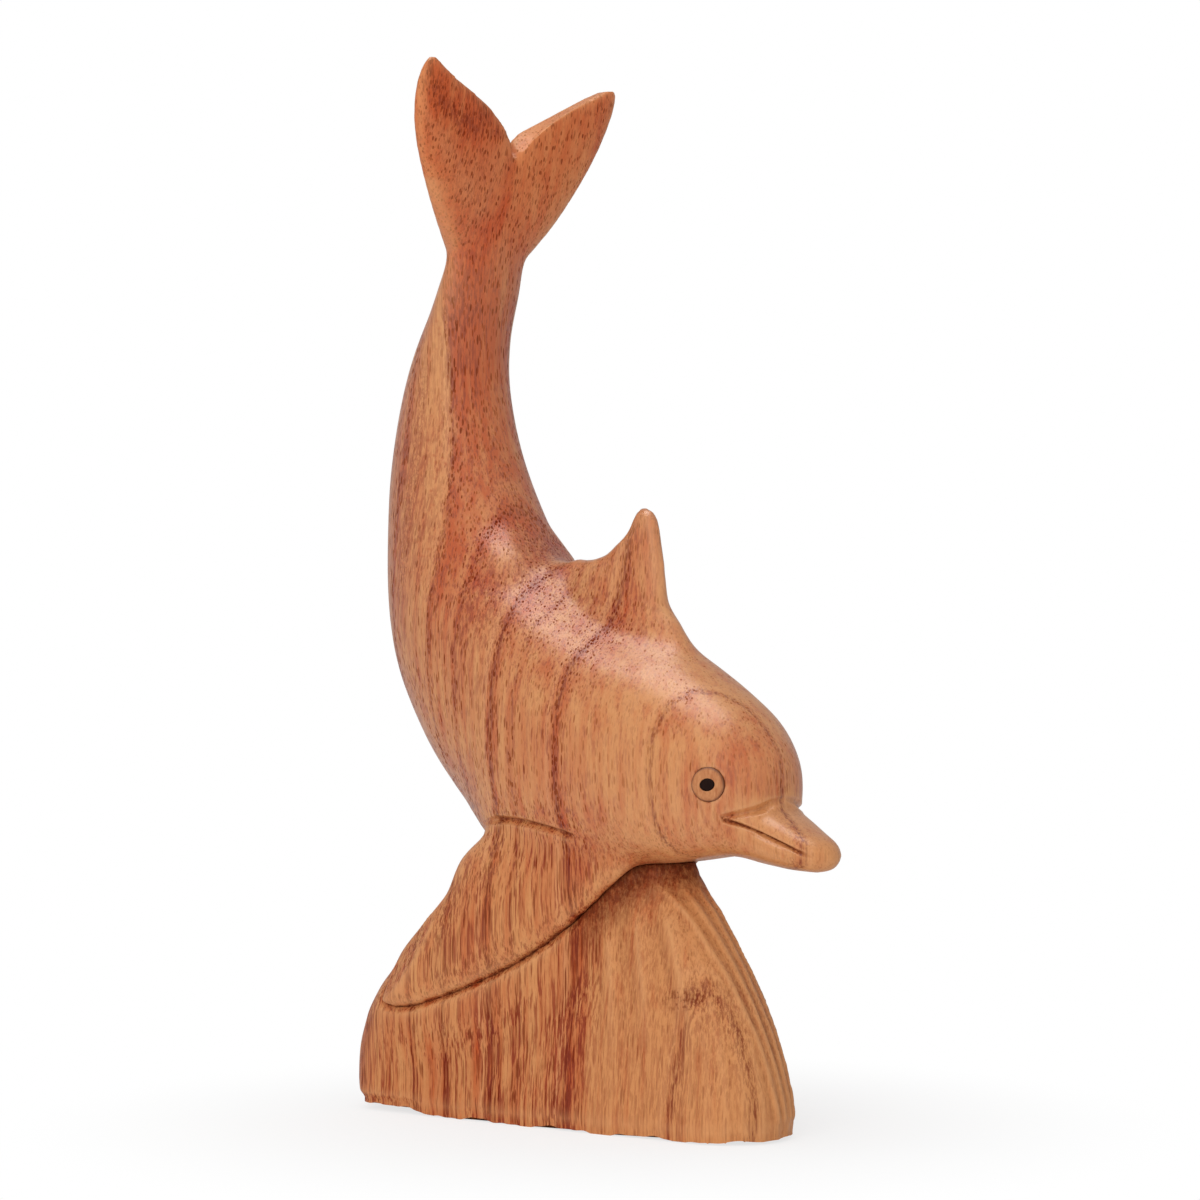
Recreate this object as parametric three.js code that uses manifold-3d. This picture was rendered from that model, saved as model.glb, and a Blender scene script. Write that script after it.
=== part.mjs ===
// Carved wooden dolphin lying on a wave-shaped base, tail up, in millimetres.
// +X points to the dolphin's head, +Y to its left, +Z up, and the base stands on Z = 0.

import * as THREE from 'three';
import { mergeVertices } from 'three/addons/utils/BufferGeometryUtils.js';
import Module from 'manifold-3d';

const wasm = await Module();
wasm.setup();

// Clearances
const SEAM_GAP = 0.3; // between the dolphin and the base that is cut to it
const GLUE_GAP = 0.3; // round each eye disc and each pupil

// The height of the whole statuette drives every other size, which is a percentage of it.
const HEIGHT = 200;
const size = (percent) => (HEIGHT * percent) / 100;

// A station is one cross-section on a centre line that lies in an upright plane, placed from a datum.
// plus and minus are its half sizes to the left and right of the way the line runs,
// side is its half thickness across the plane. The power of each half is 2 for an ellipse,
// less for a ridged lens and more for a full, boxy half.
const station = (datum, x, z, plus, minus, side, plusPower = 2, minusPower = plusPower) => ({
  x: datum.x + size(x),
  z: datum.z + size(z),
  plus: size(plus),
  minus: size(minus),
  side: size(side),
  plusPower,
  minusPower,
});
const FLOOR = { x: 0, z: 0 };

// Body, from the fluke root to the melon: plus is the back and minus the belly
const FLUKE_ROOT = station(FLOOR, -12.9, 90.5, 1.1, 0.75, 3.5, 1.6);
const TAIL_NECK = station(FLOOR, -15.6, 80.5, 2.5, 2.5, 4.9, 1.6);
const TAIL_STOCK = station(FLOOR, -19, 69, 5.5, 6, 5.25, 1.9);
const LOIN = station(FLOOR, -18.25, 57, 8.3, 8.1, 7);
const FLANK = station(FLOOR, -13.75, 46, 10.5, 11.5, 8.75);
const CHEST = station(FLOOR, -4, 37, 11.75, 13, 9.25, 2.2, 2.4);
const NECK = station(FLOOR, 8.5, 34.25, 10.25, 10, 8.25, 2.1, 3);
const BROW = station(FLOOR, 17.25, 32.5, 7.4, 7.5, 6.5, 2.1, 3.2);
const MELON = station(FLOOR, 23.5, 32, 4.9, 5.1, 4.75, 2, 2.8);
const BODY = {
  stations: [FLUKE_ROOT, TAIL_NECK, TAIL_STOCK, LOIN, FLANK, CHEST, NECK, BROW, MELON],
  round: size(5.5), // length over which the melon rounds off
  rings: 36,
  sides: 36,
};

// Jaws, from inside the head to the tip of the beak: plus is their upper side
const UPPER_JAW = {
  stations: [
    station(MELON, -6.5, -2.5, 2.5, 2.5, 4.5),
    station(MELON, -0.75, -4.15, 2.2, 2.1, 3.6),
    station(MELON, 4.8, -6.2, 1.3, 1.1, 1.9),
  ],
  round: size(2),
  rings: 12,
  sides: 24,
};
const LOWER_JAW = {
  stations: [
    station(MELON, -9, -3.5, 2, 3, 4.5),
    station(MELON, -4.5, -4.3, 2, 2.6, 4.5),
    station(MELON, 0.5, -5.6, 1.3, 1.6, 3.4),
    station(MELON, 4.4, -6.6, 0.8, 0.8, 1.8),
  ],
  round: size(2),
  rings: 14,
  sides: 24,
};
const MOUTH_CORNER = { x: MELON.x - size(3.5), z: MELON.z - size(3.1) };
const MOUTH_FRONT = { x: MELON.x + size(4), z: MELON.z - size(6.3) };
const MOUTH_OPENING = size(0.7);
const MOUTH_DEPTH = size(0.5);

// Dorsal fin, from inside the back to its tip: plus is the trailing edge
const BACK_TOP = { x: CHEST.x, z: CHEST.z + CHEST.plus };
const DORSAL_FIN = {
  stations: [
    station(BACK_TOP, 5.5, -4.75, 11, 11.5, 3.25),
    station(BACK_TOP, 6.6, 0.5, 7.2, 7, 2.2),
    station(BACK_TOP, 7.6, 2.8, 3.8, 4.5, 1.7),
    station(BACK_TOP, 8.5, 4.9, 2.4, 3.2, 1.3),
    station(BACK_TOP, 9.7, 8.75, 1.2, 1.4, 0.75),
  ],
  round: size(1.5),
  rings: 14,
  sides: 24,
};

// Fluke lobe, drawn in its own plane from the tail neck, x outwards and z up: plus is the upper edge
const FLUKE = {
  stations: [
    station(FLOOR, -1.5, 1, 3, 4, 1.8, 2.2),
    station(FLOOR, 3.5, 8.25, 7, 5, 1.65, 2.4),
    station(FLOOR, 9.25, 14.75, 5.25, 3.75, 1.2, 2.4),
    station(FLOOR, 12.5, 20.75, 1.7, 1.5, 0.7),
  ],
  round: size(2.5),
  rings: 14,
  sides: 24,
};
const FLUKE_SET_BACK = size(0.35); // of the lobes' plane behind the middle of the tail neck
const FLUKE_TILT = 18; // degrees by which the lobes lean over the back
const FLUKE_NOTCH = size(11.5); // height of the notch above the tail neck
// Trailing edge of a lobe, out and up from the notch, as percentages of the height
const FLUKE_EDGE = [[0, 0], [1.1, 2.5], [4.5, 5.2], [10.3, 7.7], [13, 9.5]];

// Pectoral fin, drawn in its own upright plane: plus is the leading edge
const PECTORAL_FIN = {
  stations: [
    station(CHEST, 14, -5.5, 4.5, 7, 1),
    station(CHEST, 0.5, -15, 6, 6.75, 2.1),
    station(CHEST, -7.25, -20.75, 4.5, 4.7, 1.8),
    station(CHEST, -16.25, -26.5, 1.8, 2, 1.2),
  ],
  round: size(4.5),
  rings: 16,
  sides: 24,
};
const PECTORAL_INSET = size(3.35); // of the fin's plane from the widest part of the chest
const PECTORAL_SPLAY = 8; // degrees by which the fin spreads towards the tail
const PECTORAL_LEAN = 5; // degrees by which its lower edge stands out

// Base: its front, back, half width and prow radius at each level up to the belly
const BELLY_OVERLAP = size(2); // of the uncut base into the belly
const BASE_TOP = CHEST.z - CHEST.minus + BELLY_OVERLAP;
const level = (z, front, back, half, prow) => (
  { z, front: size(front), back: size(back), half: size(half), prow: size(prow) });
const BASE_LEVELS = [
  level(0, 22.3, -25.75, 9.75, 6),
  level(size(5), 21.7, -25.25, 9.5, 5.5),
  level(size(12), 19.2, -23.25, 9, 4.75),
  level(size(20), 14.5, -16.75, 7.25, 3.5),
  level(BASE_TOP, 9.5, -10, 4.5, 2.5),
];
const BACK_CORNER = size(4.5); // radius of the two back corners
const BASE_EDGE = size(1.25); // rounding of the bottom edge
const FLUTE_DEPTH = size(0.225);
const FLUTE_REACH = size(20); // way round from the prow over which the flutes fade out
const FLUTE_COLUMNS = 3; // points of a ring that each flute spans

// Eyes
const EYE_DIAMETER = size(2.8);
const EYE_LENGTH = size(2.25);
const EYE_DOME = size(0.175);
const EYE_FROM_NOSE = size(4.75); // along the body's centre line
const PUPIL_DIAMETER = size(1.2);
const PUPIL_LENGTH = size(1.2);
const PUPIL_DOME = size(0.06);

// Finishes
const CARVED_WOOD = { color: 0xb5773f, roughness: 0.45, metalness: 0 };
const EYE_WOOD = { color: 0xa8693a, roughness: 0.4, metalness: 0 };
const PUPIL_WOOD = { color: 0x1f1310, roughness: 0.35, metalness: 0 };

const radians = THREE.MathUtils.degToRad;
const lerp = THREE.MathUtils.lerp;

// Solids

// Closes a stack of rings with a fan to one point at each end.
function closedSkin(rings, first, last) {
  const count = rings[0].length;
  const firstPoint = rings.length * count;
  const lastRing = firstPoint - count;
  const index = [];
  for (let j = 0; j < count; j += 1) {
    const next = (j + 1) % count;
    for (let low = 0; low < lastRing; low += count) {
      index.push(low + j, low + next, low + j + count);
      index.push(low + next, low + next + count, low + j + count);
    }
    index.push(firstPoint, next, j);
    index.push(firstPoint + 1, lastRing + j, lastRing + next);
  }
  const geometry = new THREE.BufferGeometry().setFromPoints([...rings.flat(), first, last]);
  geometry.setIndex(index);
  return geometry;
}

function toSolid(geometry, matrix = new THREE.Matrix4()) {
  const bare = geometry.clone();
  bare.deleteAttribute('normal');
  bare.deleteAttribute('uv');
  bare.applyMatrix4(matrix);
  const merged = mergeVertices(bare, 1e-4);
  const triVerts = [];
  for (let i = 0; i < merged.index.count; i += 3) {
    const [a, b, c] = merged.index.array.slice(i, i + 3);
    if (a !== b && b !== c && c !== a) {
      triVerts.push(...(matrix.determinant() < 0 ? [a, c, b] : [a, b, c]));
    }
  }
  return new wasm.Manifold(new wasm.Mesh({
    numProp: 3,
    vertProperties: new Float32Array(merged.attributes.position.array),
    triVerts: new Uint32Array(triVerts),
  }));
}

function toGeometry(solid) {
  const mesh = solid.getMesh();
  const geometry = new THREE.BufferGeometry();
  const positions = new THREE.BufferAttribute(new Float32Array(mesh.vertProperties), 3);
  geometry.setAttribute('position', positions);
  geometry.setIndex(new THREE.BufferAttribute(new Uint32Array(mesh.triVerts), 1));
  geometry.computeVertexNormals();
  return geometry;
}

const unite = (solids) => solids.reduce((whole, solid) => whole.add(solid));

// Sweeps

class Sweep {
  constructor({ stations, round, rings, sides }) {
    const smooth = (points) => new THREE.CatmullRomCurve3(points, false, 'catmullrom', 0.5);
    this.line = smooth(stations.map((s) => new THREE.Vector3(s.x, 0, s.z)));
    this.halves = smooth(stations.map((s) => new THREE.Vector3(s.plus, s.minus, s.side)));
    this.powers = smooth(stations.map((s) => new THREE.Vector3(s.plusPower, s.minusPower, 0)));
    this.length = this.line.getLength();
    this.round = round;
    this.rings = rings;
    this.sides = sides;
  }

  // Point of the surface at a distance along the line and an angle round it, from +Y over plus.
  point(distance, angle, grow = 0) {
    const t = this.line.getUtoTmapping(0, distance);
    const along = this.line.getTangent(t);
    const across = new THREE.Vector3(-along.z, 0, along.x);
    const half = this.halves.getPoint(t);
    const power = this.powers.getPoint(t);
    const isPlus = Math.sin(angle) > 0;
    const exponent = 2 / (isPlus ? power.x : power.y);
    const shape = (value) => Math.sign(value) * Math.abs(value) ** exponent;
    const rounded = Math.max(distance - this.length + this.round, 0) / this.round;
    const shrink = Math.sqrt(Math.max(1 - rounded ** 2, 0));
    const reach = (isPlus ? half.x : half.y) * shrink + grow;
    const side = half.z * shrink + grow;
    const point = this.line.getPoint(t);
    point.addScaledVector(across, reach * shape(Math.sin(angle)));
    point.y += side * shape(Math.cos(angle));
    return point;
  }

  normal(distance, angle) {
    const step = 0.02;
    const here = this.point(distance, angle);
    const onward = this.point(distance + step, angle).sub(here);
    const around = this.point(distance, angle + step).sub(here);
    return around.cross(onward).normalize();
  }

  skin(grow = 0) {
    const straight = this.length - this.round;
    const endRings = Math.max(Math.round(this.rings / 5), 5);
    const distances = [];
    for (let i = 0; i < this.rings; i += 1) {
      distances.push((straight * i) / this.rings);
    }
    for (let i = 0; i < endRings; i += 1) {
      distances.push(straight + this.round * Math.sin((Math.PI / 2) * (i / endRings)));
    }
    const turn = (2 * Math.PI) / this.sides;
    const rings = distances.map((distance) =>
      Array.from({ length: this.sides }, (_, j) => this.point(distance, j * turn, grow)));
    const tip = this.line.getPoint(1).addScaledVector(this.line.getTangent(1), grow);
    return closedSkin(rings, this.line.getPoint(0), tip);
  }
}

const body = new Sweep(BODY);
const upperJaw = new Sweep(UPPER_JAW);
const lowerJaw = new Sweep(LOWER_JAW);
const dorsalFin = new Sweep(DORSAL_FIN);
const fluke = new Sweep(FLUKE);
const pectoralFin = new Sweep(PECTORAL_FIN);

// Dolphin

const moved = (x, y, z) => new THREE.Matrix4().makeTranslation(x, y, z);
const turnedX = (degrees) => new THREE.Matrix4().makeRotationX(radians(degrees));
const turnedY = (degrees) => new THREE.Matrix4().makeRotationY(radians(degrees));
const turnedZ = (degrees) => new THREE.Matrix4().makeRotationZ(radians(degrees));

const flukePlace = moved(TAIL_NECK.x - FLUKE_SET_BACK, 0, TAIL_NECK.z)
  .multiply(turnedY(FLUKE_TILT))
  .multiply(turnedZ(90));

const pectoralRoot = PECTORAL_FIN.stations[1].z;
const pectoralPlace = moved(0, CHEST.side - PECTORAL_INSET, pectoralRoot)
  .multiply(turnedZ(-PECTORAL_SPLAY))
  .multiply(turnedX(PECTORAL_LEAN))
  .multiply(moved(0, 0, -pectoralRoot));

function bothSides(geometry, place) {
  const mirrored = new THREE.Matrix4().makeScale(1, -1, 1).multiply(place);
  return [toSolid(geometry, place), toSolid(geometry, mirrored)];
}

function restingPart(grow = 0) {
  return unite([
    toSolid(body.skin(grow)),
    toSolid(upperJaw.skin(grow)),
    toSolid(lowerJaw.skin(grow)),
    ...bothSides(pectoralFin.skin(grow), pectoralPlace),
  ]);
}

function mouthCut() {
  const width = 4 * BROW.side;
  const middle = { x: (MOUTH_CORNER.x + MOUTH_FRONT.x) / 2, z: (MOUTH_CORNER.z + MOUTH_FRONT.z) / 2 };
  const opening = new THREE.Shape();
  opening.moveTo(MOUTH_CORNER.x, MOUTH_CORNER.z);
  opening.quadraticCurveTo(middle.x, middle.z - MOUTH_OPENING, MOUTH_FRONT.x, MOUTH_FRONT.z);
  opening.quadraticCurveTo(middle.x, middle.z + MOUTH_OPENING, MOUTH_CORNER.x, MOUTH_CORNER.z);
  const blade = new THREE.ExtrudeGeometry(opening, { depth: width, bevelEnabled: false, curveSegments: 6 });
  const across = moved(0, width / 2, 0).multiply(turnedX(90));
  const core = [body, upperJaw, lowerJaw].map((sweep) => toSolid(sweep.skin(-MOUTH_DEPTH)));
  return toSolid(blade, across).subtract(unite(core));
}

// Saws both lobes to their trailing edge, square to their plane.
function flukeCut() {
  const edge = FLUKE_EDGE.map(([x, z]) => new THREE.Vector2(size(x), FLUKE_NOTCH + size(z)));
  const lobe = new THREE.SplineCurve(edge).getPoints(20);
  const mirrored = lobe.slice(1).reverse().map((p) => new THREE.Vector2(-p.x, p.y));
  const end = edge.at(-1);
  const above = new THREE.Shape([...mirrored, ...lobe]);
  above.lineTo(end.x, 2 * end.y);
  above.lineTo(-end.x, 2 * end.y);
  const depth = 8 * FLUKE.stations[0].side;
  const block = new THREE.ExtrudeGeometry(above, { depth, bevelEnabled: false });
  return toSolid(block, flukePlace.clone().multiply(moved(0, depth / 2, 0)).multiply(turnedX(90)));
}

// Eyes

function peg(diameter, length, dome) {
  const radius = diameter / 2;
  const profile = [new THREE.Vector2(0, -length), new THREE.Vector2(radius, -length)];
  for (let i = 0; i <= 5; i += 1) {
    const out = 1 - i / 5;
    profile.push(new THREE.Vector2(radius * out, dome * (1 - out ** 2)));
  }
  return new THREE.LatheGeometry(profile, 28);
}

function bore(diameter, depth, mouth) {
  const radius = diameter / 2 + GLUE_GAP;
  const length = depth + GLUE_GAP + mouth;
  return new THREE.CylinderGeometry(radius, radius, length, 28).translate(0, mouth - length / 2, 0);
}

const eyeDistance = body.length - EYE_FROM_NOSE;

// The eyes look out square to the widest line of the head.
function eyePlace(angle) {
  const turn = new THREE.Quaternion();
  turn.setFromUnitVectors(new THREE.Vector3(0, 1, 0), body.normal(eyeDistance, angle));
  return new THREE.Matrix4().compose(body.point(eyeDistance, angle), turn, new THREE.Vector3(1, 1, 1));
}

const eyePlaces = { left: eyePlace(0), right: eyePlace(Math.PI) };
const eyeSockets = Object.values(eyePlaces).map((place) =>
  toSolid(bore(EYE_DIAMETER, EYE_LENGTH, EYE_DIAMETER), place));
const eyeDisc = toSolid(peg(EYE_DIAMETER, EYE_LENGTH, EYE_DOME))
  .subtract(toSolid(bore(PUPIL_DIAMETER, PUPIL_LENGTH - EYE_DOME, EYE_DIAMETER)));
const pupil = toSolid(peg(PUPIL_DIAMETER, PUPIL_LENGTH, PUPIL_DOME));

const dolphin = unite([
  restingPart(),
  toSolid(dorsalFin.skin()),
  ...bothSides(fluke.skin(), flukePlace),
]).subtract(unite([mouthCut(), flukeCut(), ...eyeSockets]));

// Base

function levelAt(z) {
  const above = Math.max(BASE_LEVELS.findIndex((entry) => entry.z >= z), 1);
  const around = [above - 2, above - 1, above, above + 1]
    .map((i) => BASE_LEVELS[THREE.MathUtils.clamp(i, 0, BASE_LEVELS.length - 1)]);
  const [, low, high] = around;
  const share = (z - low.z) / (high.z - low.z);
  const read = (key) => {
    const points = around.map((entry) => new THREE.Vector2(entry[key], 0));
    return new THREE.SplineCurve(points).getPoint((1 + share) / 3).x;
  };
  return { front: read('front'), back: read('back'), half: read('half'), prow: read('prow') };
}

function baseRing(z) {
  const { front, back, half, prow } = levelAt(z);
  const lift = Math.max(BASE_EDGE - z, 0);
  const inset = BASE_EDGE - Math.sqrt(BASE_EDGE ** 2 - lift ** 2);
  const corner = Math.min(BACK_CORNER, 0.9 * half);
  const prowX = front - prow;
  const cornerX = back + corner;
  const cornerY = half - corner;
  const slant = Math.acos((corner - prow) / Math.hypot(prowX - cornerX, cornerY));
  const turn = Math.atan2(-cornerY, prowX - cornerX) + slant;
  const side = [];
  const addPoint = (x, y, radius, angle) => {
    const reach = radius - inset;
    side.push(new THREE.Vector2(x + reach * Math.cos(angle), y + reach * Math.sin(angle)));
  };
  for (let i = 0; i < 14; i += 1) {
    addPoint(prowX, 0, prow, (turn * i) / 14);
  }
  for (let i = 0; i < 18; i += 1) {
    const share = (i / 18) ** 1.5;
    addPoint(lerp(prowX, cornerX, share), cornerY * share, lerp(prow, corner, share), turn);
  }
  for (let i = 0; i <= 8; i += 1) {
    addPoint(cornerX, cornerY, corner, lerp(turn, Math.PI, i / 8));
  }
  const left = fluted(side);
  const right = left.slice(1).reverse().map((p) => new THREE.Vector2(p.x, -p.y));
  return [...left, ...right].map((p) => new THREE.Vector3(p.x, p.y, z));
}

// Gouges shallow flutes into one side of a ring, deepest at the prow.
function fluted(side) {
  let way = 0;
  return side.map((point, i) => {
    const before = side[Math.max(i - 1, 0)];
    const after = side[Math.min(i + 1, side.length - 1)];
    way += point.distanceTo(before);
    const fade = Math.max(1 - way / FLUTE_REACH, 0);
    const cut = FLUTE_DEPTH * fade * Math.sin((Math.PI * (i % FLUTE_COLUMNS)) / FLUTE_COLUMNS);
    const inward = new THREE.Vector2(before.y - after.y, after.x - before.x).normalize();
    return point.clone().addScaledVector(inward, cut);
  });
}

const baseHeights = [0, 0.3, 0.6, 0.85].map((share) => BASE_EDGE * (1 - Math.cos(share * Math.PI / 2)));
for (let i = 0; i <= 9; i += 1) {
  baseHeights.push(lerp(BASE_EDGE, BASE_TOP, i / 9));
}
const topLevel = BASE_LEVELS.at(-1);
const waveBase = toSolid(closedSkin(
  baseHeights.map(baseRing),
  new THREE.Vector3(0, 0, 0),
  new THREE.Vector3((topLevel.front + topLevel.back) / 2, 0, BASE_TOP),
)).subtract(restingPart(SEAM_GAP));

// Scene graph

const statuette = new THREE.Group();
statuette.name = 'wooden_dolphin';

function addPiece(parent, name, solid, finish) {
  const piece = new THREE.Mesh(toGeometry(solid), new THREE.MeshStandardMaterial(finish));
  piece.name = name;
  parent.add(piece);
  return piece;
}

addPiece(statuette, 'dolphin', dolphin, CARVED_WOOD);
addPiece(statuette, 'wave_base', waveBase, CARVED_WOOD);

for (const [side, place] of Object.entries(eyePlaces)) {
  const eye = new THREE.Group();
  eye.name = `${side}_eye`;
  eye.applyMatrix4(place);
  addPiece(eye, `${side}_eye_disc`, eyeDisc, EYE_WOOD);
  addPiece(eye, `${side}_pupil`, pupil, PUPIL_WOOD).position.y = EYE_DOME;
  statuette.add(eye);
}

export default statuette;
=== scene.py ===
"""Carved wooden dolphin on a wave base: the finished look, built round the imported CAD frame.

Lengths are millimetres wherever a name does not say metres. Blender meshes are in metres.
The dolphin's head points along +X, its right side along -Y, and the base stands on Z = 0.
"""

import logging
import math
from dataclasses import dataclass, field, replace
from enum import Enum
from typing import Any, Sequence

import bmesh
import bpy
import numpy as np
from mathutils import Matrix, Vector
from mathutils.kdtree import KDTree


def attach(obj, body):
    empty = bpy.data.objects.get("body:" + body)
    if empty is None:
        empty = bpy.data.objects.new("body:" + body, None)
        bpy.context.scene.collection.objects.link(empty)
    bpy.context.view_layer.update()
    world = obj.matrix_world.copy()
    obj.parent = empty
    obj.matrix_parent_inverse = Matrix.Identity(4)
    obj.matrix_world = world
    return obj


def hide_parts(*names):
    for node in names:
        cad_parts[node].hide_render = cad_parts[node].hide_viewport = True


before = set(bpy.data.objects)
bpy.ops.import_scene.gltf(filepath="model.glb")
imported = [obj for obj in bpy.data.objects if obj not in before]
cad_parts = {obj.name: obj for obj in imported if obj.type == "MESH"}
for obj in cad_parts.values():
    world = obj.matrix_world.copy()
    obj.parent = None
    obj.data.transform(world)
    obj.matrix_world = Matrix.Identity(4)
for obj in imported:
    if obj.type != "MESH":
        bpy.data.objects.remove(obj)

LOG = logging.getLogger("dolphin")
METRE = 1000.0
BODY = "root"
Point = tuple[float, float, float]
Colour = tuple[float, float, float]
Profile = tuple[tuple[float, float], ...]
MIRROR = np.array([1.0, -1.0, 1.0])
WHITE = (1.0, 1.0, 1.0, 1.0)


def smooth_step(low: float, high: float, values: np.ndarray) -> np.ndarray:
    """Fades values from 0 at low to 1 at high, with soft ends.

    Args:
        low: Value at which the result is 0.
        high: Value at which the result is 1; it may be below low.
        values: Numbers to fade.

    Returns:
        An array of numbers from 0 to 1.
    """
    share = np.clip((values - low) / (high - low), 0.0, 1.0)
    return share * share * (3.0 - 2.0 * share)


def linear(red: int, green: int, blue: int) -> Colour:
    """Turns an 8-bit screen colour into the linear colour that shaders use.

    Args:
        red: Red, 0 to 255.
        green: Green, 0 to 255.
        blue: Blue, 0 to 255.

    Returns:
        The linear colour.
    """
    def channel(value: int) -> float:
        """Linear value of one channel."""
        share = value / 255.0
        return share / 12.92 if share <= 0.04045 else ((share + 0.055) / 1.055) ** 2.4

    return channel(red), channel(green), channel(blue)


def placed(name: str, data: bpy.types.ID) -> bpy.types.Object:
    """Puts a new object into the scene.

    Args:
        name: Its name.
        data: Its mesh, lamp or camera.

    Returns:
        The object.
    """
    thing = bpy.data.objects.new(name, data)
    bpy.context.scene.collection.objects.link(thing)
    return thing


def search_tree(points: np.ndarray) -> KDTree:
    """Makes a tree that finds the nearest of some points.

    Args:
        points: The points, one row each.

    Returns:
        The tree.
    """
    tree = KDTree(len(points))
    for index, point in enumerate(points):
        tree.insert(point, index)
    tree.balance()
    return tree


class Side(Enum):
    """The two sides of the statuette, by the sign of their Y."""

    RIGHT = -1
    LEFT = 1


class Shine(Enum):
    """What a lamp lights: all of a surface, its gloss only, or all but its gloss."""

    FULL = "full"
    GLOSS = "gloss"
    SOFT = "soft"


class Value:
    """A number that flows through a shader or a geometry tree, with Python operators."""

    def __init__(self, sheet: "NodeSheet", socket: bpy.types.NodeSocket) -> None:
        """Wraps an output socket of a sheet."""
        self.sheet = sheet
        self.socket = socket

    def _math(self, operation: str, *operands: "Value | float") -> "Value":
        """Adds a Math node and returns its result."""
        return self.sheet.math(operation, *operands)

    def __add__(self, other: "Value | float") -> "Value":
        """Sum."""
        return self._math("ADD", self, other)

    __radd__ = __add__

    def __sub__(self, other: "Value | float") -> "Value":
        """Difference."""
        return self._math("SUBTRACT", self, other)

    def __rsub__(self, other: "Value | float") -> "Value":
        """Difference from a plain number."""
        return self._math("SUBTRACT", other, self)

    def __mul__(self, other: "Value | float") -> "Value":
        """Product."""
        return self._math("MULTIPLY", self, other)

    __rmul__ = __mul__

    def __truediv__(self, other: "Value | float") -> "Value":
        """Quotient."""
        return self._math("DIVIDE", self, other)

    def __pow__(self, other: "Value | float") -> "Value":
        """Power."""
        return self._math("POWER", self, other)

    def root(self) -> "Value":
        """Square root."""
        return self._math("SQRT", self)

    def above(self, floor: "Value | float") -> "Value":
        """The larger of this and the floor."""
        return self._math("MAXIMUM", self, floor)

    def below(self, ceiling: "Value | float") -> "Value":
        """The smaller of this and the ceiling."""
        return self._math("MINIMUM", self, ceiling)

    def fade(self, low: float, high: float) -> "Value":
        """Soft step from 0 at low to 1 at high.

        Args:
            low: Value at which the result is 0.
            high: Value at which the result is 1; it may be below low.

        Returns:
            The faded value.
        """
        backwards = high < low
        node = self.sheet.add(
            "ShaderNodeMapRange",
            {"interpolation_type": "SMOOTHSTEP"},
            {"Value": self, "From Min": min(low, high), "From Max": max(low, high)},
        )
        step = Value(self.sheet, node.outputs["Result"])
        return 1.0 - step if backwards else step


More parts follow.
